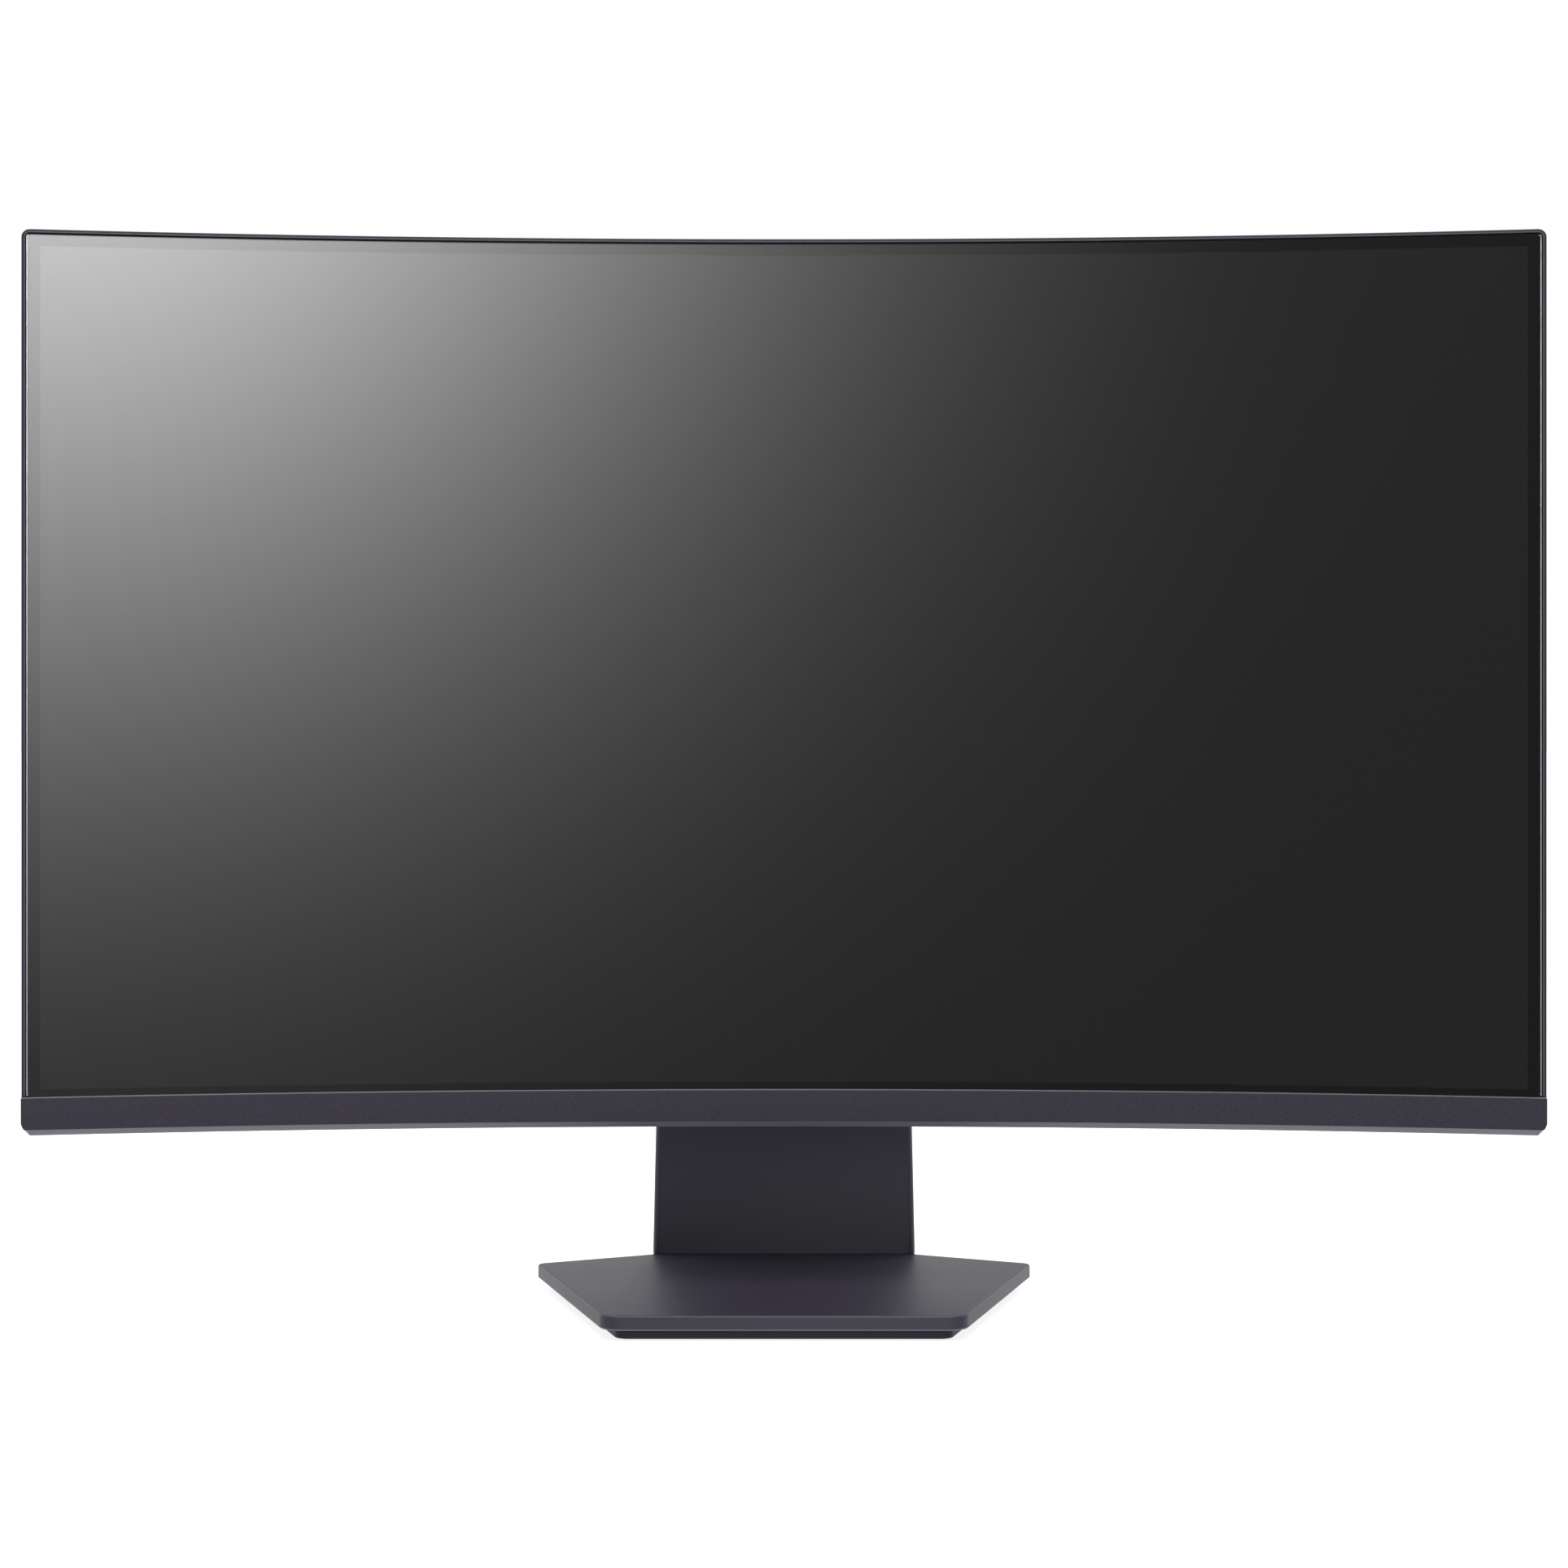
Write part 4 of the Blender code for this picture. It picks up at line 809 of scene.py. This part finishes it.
def neck_shell(name, node, low, high, outer_is_front):
    """Half of the neck: tapering shell with round edges, open inward and below."""
    obj = box_piece(name, low, high)
    outer = (low.y if outer_is_front else high.y) * MM
    bm = bmesh.new()
    bm.from_mesh(obj.data)
    chosen = [
        e for e in bm.edges
        if all(abs(v.co.y - outer) < 0.1 * MM for v in e.verts)
        and (abs(e.verts[0].co.z - e.verts[1].co.z) > 10 * MM
             or min(v.co.z for v in e.verts) > (high.z - 1) * MM)]
    bmesh.ops.bevel(
        bm, geom=chosen, offset=NECK_ROUND * MM, segments=8, profile=0.5, affect="EDGES",
        clamp_overlap=True)
    facing = 1 if outer_is_front else -1
    bm.normal_update()
    gone = [f for f in bm.faces if f.normal.y * facing > FACING or f.normal.z < -FACING]
    bmesh.ops.delete(bm, geom=gone, context="FACES")
    for vert in bm.verts:
        rise = (vert.co.z / MM - low.z) / (high.z - low.z)
        vert.co.x *= 1 + (NECK_TOP_HALF / high.x - 1) * rise
    bm.to_mesh(obj.data)
    bm.free()
    thicken(obj, NECK_WALL, Vector((0, -facing, 0)))
    return finish_piece(obj, ["body"], "stand", [node])


BASE_LOW, BASE_HIGH = span("base_cover")
# right-hand corners of the base from front to back: x, y, radius
BASE_CORNERS = (
    (82.0, BASE_LOW.y, 9.5),
    (122.3, BASE_LOW.y + 145.6, 5.0),
    (66.4, BASE_LOW.y + 174.0, 1.5),
    (62.0, BASE_HIGH.y, 6.0),
)
TRAY_BOTTOM = 0.1
TRAY_INSET = 6.0
TRAY_NARROWER = 1.5
TIER_SPLIT = BASE_LOW.z - 1.0
# rows of a tier's outline that take a painted edge colour: a painted highlight on the upper tier,
# painted shade on the lower
PAINTED_EDGE_ROWS = (0, 3, 4, 5)
LEAST_CORNER = 1.5
TOP_TIER_ROUND, TOP_TIER_CUT = 0.8, 0.7
LOW_TIER_ROUND, LOW_TIER_CUT = 0.1, 0.4
THUMB_RECESS = 18.0
THUMB_RECESS_TOP = 30.0
RECESS_START = -5.0
FOOT_GAP = 0.3


def base_outline(inset, narrower, steps=8):
    """Rounded outline of the base, made narrower and moved inward by the inset."""
    corners = [Vector((x - narrower, y, r)) for x, y, r in BASE_CORNERS]
    corners += [Vector((-v.x, v.y, v.z)) for v in reversed(corners)]
    moved = []
    for index, here in enumerate(corners):
        before = (here.xy - corners[index - 1].xy).normalized()
        after = (corners[(index + 1) % len(corners)].xy - here.xy).normalized()
        normals = Vector((-before.y, before.x)), Vector((-after.y, after.x))
        shift = (normals[0] + normals[1]) * inset / (1 + normals[0].dot(normals[1]))
        moved.append((here.xy + shift, max(here.z - inset / 2, LEAST_CORNER)))
    outline = []
    for index, (here, radius) in enumerate(moved):
        here = here.to_3d()
        back = (moved[index - 1][0].to_3d() - here).normalized()
        ahead = (moved[(index + 1) % len(moved)][0].to_3d() - here).normalized()
        half = back.angle(ahead) / 2
        middle = here + (back + ahead).normalized() * radius / math.sin(half)
        start = (here + back * radius / math.tan(half) - middle).normalized()
        end = (here + ahead * radius / math.tan(half) - middle).normalized()
        for step in range(steps + 1):
            outline.append(middle + start.slerp(end, step / steps) * radius)
    return outline


def tier(name, low, high, inset, narrower, top_round, bottom_cut):
    """Slab of the base's outline between two heights: round above, cut below."""
    levels = [(bottom_cut, low), (0.0, low + bottom_cut)]
    for x, z in arc((0, 0), top_round, 0, 90, 6):
        levels.append((top_round - x, high - top_round + z))
    rings = []
    for more, z in levels:
        rings.append([(p.x, p.y, z) for p in base_outline(inset + more, narrower)])
    verts, faces = skin(rings)
    around = len(rings[0])
    marks = [int(index // around in PAINTED_EDGE_ROWS) for index in range(len(faces) - 2)] + [0, 0]
    return object_from(name, verts, faces, straight, marks)


def recess(obj, centre, radius, top):
    """Sinks a round hole into the underside of a piece, up to a height."""
    profile = [(0, RECESS_START), (radius, RECESS_START), (radius, top), (0, top)]
    cut(obj, turned("recess", profile, (0, 0, 1), (centre.x, centre.y, 0), sides=48))


def stand():
    """Neck shells and the two tiers of the base."""
    neck_shell("neck_front_shell", "neck_front_cover", NECK_LOW, NECK_HIGH, True)
    neck_shell("neck_rear_shell", "neck_rear_cover", NECK_REAR_LOW, NECK_REAR_HIGH, False)
    upper = tier(
        "base_top_tier", TIER_SPLIT, BASE_HIGH.z, 0.0, 0.0, TOP_TIER_ROUND, TOP_TIER_CUT)
    # the upper tier's edge rows carry the painted highlight colour
    finish_piece(upper, ["body", "painted_edge_highlight"], "stand", ["base_cover"], 25)
    lower = tier(
        "base_low_tier", TRAY_BOTTOM, TIER_SPLIT, TRAY_INSET, TRAY_NARROWER, LOW_TIER_ROUND,
        LOW_TIER_CUT)
    recess(lower, centre_of("thumb_screw"), THUMB_RECESS, THUMB_RECESS_TOP)
    for index in range(1, 7):
        low, high = span(f"foot_pad_{index}")
        recess(lower, (low + high) / 2, (high.x - low.x) / 2 + FOOT_GAP, high.z + FOOT_GAP)
    # painted shade: the lower tier's edge rows are black, a painted shadow line along the floor
    # and under the upper tier
    finish_piece(lower, ["frame", "black"], "stand", ["base_tray"], 25)


# ------------------------------------------------------------ hinge and screws

def rounded_box(half_x, half_z, centre_z, radius, depth, steps=6):
    """Ring of a rectangle with round corners, at a depth."""
    ring = []
    for side_x, side_z, start in ((1, 1, 0), (-1, 1, 90), (-1, -1, 180), (1, -1, 270)):
        centre = (side_x * (half_x - radius), centre_z + side_z * (half_z - radius))
        ring += [(x, depth, z) for x, z in arc(centre, radius, start, start + 90, steps)]
    return ring


SHROUD_ROUND = 4.0
SHROUD_WALL = 2.4
EDGE_ROUND = 0.6


def hinge_shroud():
    """Sleeve between the display and the neck, with softened mouths."""
    low, high = span("hinge_shroud")
    middle, half_z = (low.z + high.z) / 2, (high.z - low.z) / 2
    corner = arc((0, 0), EDGE_ROUND, 0, 90, 3)
    outer = [(EDGE_ROUND - x, low.y + EDGE_ROUND - z) for x, z in reversed(corner)]
    outer += [(EDGE_ROUND - x, high.y - EDGE_ROUND + z) for x, z in corner]
    loops = []
    for inset, depth in outer + [(SHROUD_WALL, high.y), (SHROUD_WALL, low.y)]:
        radius = max(SHROUD_ROUND - inset, 1.0)
        loops.append(rounded_box(high.x - inset, half_z - inset, middle, radius, depth))
    verts, faces = skin(loops + [loops[0]], ends=False)
    obj = object_from("hinge_shroud_finished", verts, faces)
    return finish_piece(obj, ["body"], "stand", ["hinge_shroud"], 35)


SCREW_HEAD = 2.4
SCREW_RIM = 0.5
HEAD_RADIUS = 4.0
THREAD_RADIUS = 2.0
THREAD_STEP = 0.35
THREAD_TOP = -1.0
THREAD_RINGS = 24
SCREW_TIP = ((0, -10.0), (1.2, -9.6))
CROSS_LOW, CROSS_HIGH = (-2.3, -1.2, -0.5), (2.3, 1.6, 0.5)
CROSS_RISE = 2.0


def stand_screws():
    """Four pan-head screws with a cross recess."""
    dome = [(HEAD_RADIUS * math.cos(a), SCREW_RIM + (SCREW_HEAD - SCREW_RIM) * math.sin(a))
            for a in (math.radians(step * 15) for step in range(7))]
    thread = [(THREAD_RADIUS - THREAD_STEP * (ring % 2), THREAD_TOP - THREAD_STEP * ring)
              for ring in range(THREAD_RINGS)]
    profile = [*SCREW_TIP, *thread[::-1], (THREAD_RADIUS, 0), (HEAD_RADIUS, 0), *dome]
    for index in range(1, 5):
        node = f"stand_screw_{index}"
        centre = centre_of(node)
        seat = span(node)[1].y - SCREW_HEAD
        place = (centre.x, seat, centre.z)
        obj = turned(f"{node}_finished", profile, (0, 1, 0), place)
        for spin in (45, 135):
            slot = box_piece("cross", CROSS_LOW, CROSS_HIGH)
            turn = Matrix.Rotation(math.radians(spin), 4, "Y")
            shift = Matrix.Translation(Vector((centre.x, seat + CROSS_RISE, centre.z)) * MM)
            slot.data.transform(shift @ turn)
            cut(obj, slot)
        finish_piece(obj, ["steel"], "display", [node], 35)


# ------------------------------------------------------ connectors and joystick

PORT_DEPTHS = (11.9, 23.7)
PORT_FLOOR = 15.0
PORT_CHAMFER = 0.4
PORT_FLARE = 0.3
LEAST_CUT = 0.05
TONGUE_BACK, TONGUE_SIDE, TONGUE_ROUND = 2.0, 1.8, 0.15
TONGUE_LOW, TONGUE_HIGH = -0.6, 0.5
CONTACT_COUNT = 9
CONTACT_PITCH = 1.05
CONTACT_OUTLINE = ((-0.3, 0.45), (0.3, 0.45), (0.3, 0.62), (-0.3, 0.62))
# node, place along the panel, half width, half mouth width and height, left and right cut
FLAT_PORTS = (
    ("hdmi_port_1", -30.0, 8.0, 7.0, 2.3, 1.6, 1.6),
    ("hdmi_port_2", -7.0, 8.0, 7.0, 2.3, 1.6, 1.6),
    ("displayport", 17.0, 8.9, 8.0, 2.4, 1.8, 0.0),
)
PORT_HALF_HEIGHT = 3.6
# node, place along the panel, outer radius, bore radius
ROUND_PORTS = (("dc_inlet", -54.0, 5.5, 3.7), ("headphone_jack", 42.0, 3.6, 1.8))
BORE_FLOOR = 2.0
COLLAR_START, COLLAR_END = 2.2, 0.6
COLLAR_INNER, COLLAR_OUTER = 0.35, 0.05
PIN_RADIUS, PIN_TIP_RADIUS = 0.9, 0.5
PIN_SHOULDER, PIN_TIP, PIN_END = 2.4, 1.8, 1.7


def flat_port(node, x, half, mouth, mouth_height, cut_left, cut_right):
    """Metal socket with cut lower corners, a dark tongue and a row of gold contacts."""
    z = middle_z(node)
    place = laid(IO_X)
    back = PORT_DEPTHS[1]

    def ring(width, height, depth, left, right):
        return [(x + width, depth, z + height), (x - width, depth, z + height),
                (x - width, depth, z - height + left), (x - width + left, depth, z - height),
                (x + width - right, depth, z - height), (x + width, depth, z - height + right)]
    rings = [ring(half, PORT_HALF_HEIGHT, depth, LEAST_CUT, LEAST_CUT) for depth in PORT_DEPTHS]
    left, right = max(cut_left, LEAST_CUT), max(cut_right, LEAST_CUT)
    rings.append(ring(mouth + PORT_FLARE, mouth_height + PORT_FLARE, back, left, right))
    rings.append(ring(mouth, mouth_height, back - 0.5, left, right))
    rings.append(ring(mouth, mouth_height, PORT_FLOOR, left, right))
    verts, faces = skin(rings)
    shell = object_from(f"{node}_shell", verts, faces, place)
    finish_piece(shell, ["steel"], "display", [node], 30)
    tip = back - TONGUE_BACK
    tongue = box_piece(
        f"{node}_tongue", (x - mouth + TONGUE_SIDE, PORT_FLOOR - 0.2, z + TONGUE_LOW),
        (x + mouth - TONGUE_SIDE, tip, z + TONGUE_HIGH), place, TONGUE_ROUND)
    finish_piece(tongue, ["black"], "display")
    bars = []
    for index in range(CONTACT_COUNT):
        middle = x + (index - (CONTACT_COUNT - 1) / 2) * CONTACT_PITCH
        bars.append(skin([[(middle + a, depth, z + b) for a, b in CONTACT_OUTLINE]
                          for depth in (PORT_FLOOR, tip - 0.6)]))
    contacts = object_from(f"{node}_contacts", *joined(bars), place)
    finish_piece(contacts, ["gold"], "display")


def round_ports():
    """Power inlet with its pin and the headphone jack, each with a metal collar."""
    place = laid(IO_X)
    front, back = PORT_DEPTHS
    floor, edge, start = front + BORE_FLOOR, back - PORT_CHAMFER, front + COLLAR_START
    for node, x, radius, bore in ROUND_PORTS:
        centre = (x, 0, middle_z(node))
        profile = [(0, front), (radius, front), (radius, edge), (radius - PORT_CHAMFER, back),
                   (bore + PORT_CHAMFER, back), (bore, edge), (bore, floor), (0, floor)]
        obj = turned(f"{node}_finished", profile, (0, 1, 0), centre, place, 48)
        finish_piece(obj, ["black"], "display", [node])
        inner, outer, end = bore - COLLAR_INNER, bore - COLLAR_OUTER, back - COLLAR_END
        collar = [(inner, end), (outer, end), (outer, start), (inner, start)]
        ring = turned(f"{node}_collar", collar, (0, 1, 0), centre, place, 48)
        finish_piece(ring, ["steel"], "display")
    pin = [(0, start), (PIN_RADIUS, start), (PIN_RADIUS, back - PIN_SHOULDER),
           (PIN_TIP_RADIUS, back - PIN_TIP), (0, back - PIN_END)]
    inlet, x = ROUND_PORTS[0][:2]
    obj = turned("dc_pin", pin, (0, 1, 0), (x, 0, middle_z(inlet)), place, 24)
    finish_piece(obj, ["steel"], "display")


CAP_BASE = 26.5
# radius and height of the cap's outline, from the middle of its crown to its socket
CAP_OUTLINE = (
    (0, 6.0), (1.4, 6.05), (2.8, 6.25), (3.8, 6.6), (4.5, 6.8), (5.1, 6.7), (5.5, 6.2),
    (5.5, 4.9), (5.1, 4.3), (4.5, 3.9), (4.25, 3.2), (4.2, 1.7), (5.3, 0.9), (5.4, 0.4),
    (5.2, 0), (2.5, 0), (2.5, 3.2), (0, 3.2))
CAP_RIDGES = 12
RIDGE_REACH = 5.0
RIDGE_HEIGHTS = (5.0, 6.1)
RIDGE_OUTLINE = ((-0.4, -0.35), (0.6, -0.25), (0.6, 0.25), (-0.4, 0.35))


def joystick_cap():
    """Dished cap with a ring of grip ridges round its crown."""
    place = laid(STICK_X)
    middle = (0, CAP_BASE, STICK_Z)
    obj = turned("joystick_cap_finished", CAP_OUTLINE, (0, 1, 0), middle, place, 72)
    finish_piece(obj, ["black"], "cap", ["joystick_cap"])
    bars = []
    for index in range(CAP_RIDGES):
        angle = 2 * math.pi * index / CAP_RIDGES
        along = Vector((math.cos(angle), 0, math.sin(angle)))
        side = Vector((-along.z, 0, along.x))
        centre = Vector(middle) + along * RIDGE_REACH
        bars.append(skin([[centre + along * out + side * across + Vector((0, height, 0))
                           for out, across in RIDGE_OUTLINE] for height in RIDGE_HEIGHTS]))
    ridges = object_from("joystick_cap_ridges", *joined(bars), place)
    finish_piece(ridges, ["black"], "cap")


FOOT_ROUND = 0.6
# distance in from the rim and height of the ring groove's corners
FOOT_GROOVE = ((1.4, 0), (1.7, 0.3), (2.1, 0.3), (2.4, 0))


def foot_pads():
    """Rubber discs with a rounded rim and a shallow ring groove underneath."""
    for index in range(1, 7):
        node = f"foot_pad_{index}"
        low, high = span(node)
        centre = (low + high) / 2
        radius = (high.x - low.x) / 2
        profile = [(0, high.z), (radius, high.z), (radius, FOOT_ROUND)]
        profile += arc((radius - FOOT_ROUND, FOOT_ROUND), FOOT_ROUND, 0, -90, 4)[1:]
        profile += [(radius - inward, z) for inward, z in FOOT_GROOVE] + [(0, 0)]
        obj = turned(f"{node}_finished", profile, (0, 0, 1), (centre.x, centre.y, 0), sides=56)
        finish_piece(obj, ["rubber"], "stand", [node])


# --------------------------------------------------------------- other solids

CARRIED = {
    "steel": ["hinge_bracket", "hinge_shaft", "disc_spring_1", "disc_spring_2", "hinge_nut",
              "tilt_plate", "neck_foot_block", "base_steel_plate", "thumb_screw", "thumb_ring",
              *[f"bracket_screw_{number}" for number in range(1, 5)]],
    "sheet": ["panel_tray", "vesa_bracket", "board_shield", "io_panel", "neck_steel_core"],
    "white": ["optical_films", "reflector_sheet", "led_bar", "panel_moulding",
              "joystick_gimbal"],
    "clear": ["light_guide"],
    "board": ["main_board", "power_board", "timing_board", "joystick_board"],
    "ribbon": ["flat_flex_cable"],
    "black": ["joystick_housing", "joystick_stick"],
    "body": ["cable_clip"],
}
SOFTENED = {
    "tilt_plate": 0.4, "vesa_bracket": 0.3, "hinge_bracket": 0.4, "io_panel": 0.2,
    "cable_clip": 0.5, "neck_foot_block": 0.4, "joystick_housing": 0.3,
    "hinge_nut": 0.3, "board_shield": 0.2,
}
SOFT_STEPS = 2
SOFT_ANGLE = 40


def dress_solids():
    """Gives their finished materials to the solids that no finished piece replaces."""
    for look, nodes in CARRIED.items():
        for node in nodes:
            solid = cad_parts[node]
            solid.data.materials.clear()
            solid.data.materials.append(LOOKS[look])
            if node in SOFTENED:
                modifier = solid.modifiers.new("soft_edges", "BEVEL")
                modifier.width = SOFTENED[node] * MM
                modifier.segments = SOFT_STEPS
                modifier.angle_limit = math.radians(SOFT_ANGLE)


# ------------------------------------------------------- floor, light and view

FLOOR_SIZE = 40.0
FLOOR_GLOW = 0.85
FLOOR_GRAIN = 30.0
SHEEN_START = -0.5
SHEEN_DROP = -0.001
SURROUND = {"from_min": -0.2, "from_max": 0.45, "to_min": 0.3, "to_max": 1.0}
OVERHEAD_PLACE = (0.0, -0.2, 2.4)
OVERHEAD_SIZE = (3.0, 2.4)
OVERHEAD_POWER = 70.0
GLOW_PLACE = (0.718, -6.0, 2.196)
GLOW_SPREAD = (0.359, 0.99)
GLOW_STRENGTH = 22.4
GLOW_REACH = 3.0
CAMERA_DISTANCE = 1.620
CAMERA_HEIGHT = 0.2875
CAMERA_LENS = 78.2
CAMERA_SENSOR = 36.0
CAMERA_SHIFT = -0.0497
CAMERA_CLIP = (0.05, 100.0)


def studio():
    """Pale floor, a bright surround behind the object and a dim one before it.

    Glossy surfaces see only the part of the floor that is under and behind the object.
    """
    bpy.ops.mesh.primitive_plane_add(size=FLOOR_SIZE, location=(0, 0, 0))
    floor = bpy.context.object
    floor.name = "floor"
    material, tree, main, place = shader("floor_paint", (0.4, 0.4, 0.4), 0.6, specular=0.2)
    grain = noise(tree, place, FLOOR_GRAIN, detail=3.0)
    tint(tree, grain, (0.39, 0.39, 0.39), (0.41, 0.41, 0.41), main)
    settled(main, emission_color=(1.0, 1.0, 1.0, 1.0), emission_strength=FLOOR_GLOW)
    floor.data.materials.append(material)
    floor.visible_glossy = False
    sheen = floor.copy()
    sheen.name = "floor_sheen"
    sheen.location = (0, FLOOR_SIZE / 2 + SHEEN_START, SHEEN_DROP)
    bpy.context.scene.collection.objects.link(sheen)
    sheen.visible_glossy = True
    sheen.visible_camera = sheen.visible_diffuse = sheen.visible_shadow = False

    world = bpy.data.worlds.new("studio")
    bpy.context.scene.world = world
    world.use_nodes = True
    tree = world.node_tree
    background = tree.nodes["Background"]
    place = node_of(tree, "TexCoord")
    split = node_of(tree, "SeparateXYZ")
    link(place.outputs["Generated"], split.inputs[0])
    made = node_of(tree, "MapRange", interpolation_type="SMOOTHSTEP", **SURROUND)
    link(split.outputs["Y"], made.inputs["Value"])
    link(made.outputs["Result"], background.inputs["Strength"])
    background.inputs["Color"].default_value = (1.0, 1.0, 1.0, 1.0)


def overhead():
    """Rectangular soft light above the object, aimed at the origin."""
    data = bpy.data.lights.new("overhead", "AREA")
    data.shape = "RECTANGLE"
    data.size, data.size_y = OVERHEAD_SIZE
    data.energy = OVERHEAD_POWER
    obj = new_object("overhead", data)
    obj.location = OVERHEAD_PLACE
    obj.rotation_euler = (-Vector(OVERHEAD_PLACE)).to_track_quat("-Z", "Y").to_euler()
    obj.visible_camera = False


def screen_glow():
    """Upright panel behind the viewer, brightest inside, that the screen mirrors.

    Only glossy surfaces see it. Its strength falls off from the middle as a bell curve.
    """
    bpy.ops.mesh.primitive_plane_add(
        size=2.0, location=GLOW_PLACE, rotation=(math.radians(90), 0, 0))
    obj = bpy.context.object
    obj.name = "screen_glow"
    obj.scale = (GLOW_SPREAD[0] * GLOW_REACH, GLOW_SPREAD[1] * GLOW_REACH, 1)
    material = bpy.data.materials.new("screen_glow")
    material.use_nodes = True
    tree = material.node_tree
    tree.nodes.remove(tree.nodes["Principled BSDF"])
    coords = node_of(tree, "TexCoord")
    length = node_of(tree, "VectorMath", operation="DOT_PRODUCT")
    link(coords.outputs["Object"], length.inputs[0])
    link(coords.outputs["Object"], length.inputs[1])
    power = node_of(tree, "Math", operation="MULTIPLY")
    power.inputs[1].default_value = -GLOW_REACH * GLOW_REACH / 2
    link(length.outputs["Value"], power.inputs[0])
    fall = node_of(tree, "Math", operation="EXPONENT")
    link(power.outputs[0], fall.inputs[0])
    level = node_of(tree, "Math", operation="MULTIPLY")
    level.inputs[1].default_value = GLOW_STRENGTH
    link(fall.outputs[0], level.inputs[0])
    glow = node_of(tree, "Emission")
    link(level.outputs[0], glow.inputs["Strength"])
    both = node_of(tree, "AddShader")
    link(glow.outputs[0], both.inputs[0])
    link(node_of(tree, "BsdfTransparent").outputs[0], both.inputs[1])
    link(both.outputs[0], tree.nodes["Material Output"].inputs["Surface"])
    obj.data.materials.append(material)
    obj.visible_camera = obj.visible_diffuse = obj.visible_shadow = False


def camera():
    """Level camera in front of the middle of the screen."""
    data = bpy.data.cameras.new("camera")
    data.lens = CAMERA_LENS
    data.sensor_width = CAMERA_SENSOR
    data.shift_y = CAMERA_SHIFT
    data.clip_start, data.clip_end = CAMERA_CLIP
    obj = new_object("camera", data)
    obj.location = (0.0, FRONT_Y * MM - CAMERA_DISTANCE, CAMERA_HEIGHT)
    obj.rotation_euler = (math.radians(90), 0, 0)
    bpy.context.scene.camera = obj


front_frame()
gasket()
screen()
chin()
rear_cover()
vent_grille()
stand()
hinge_shroud()
stand_screws()
for port in FLAT_PORTS:
    flat_port(*port)
round_ports()
joystick_cap()
foot_pads()
dress_solids()
studio()
overhead()
screen_glow()
camera()
bpy.context.scene.view_settings.view_transform = "Standard"
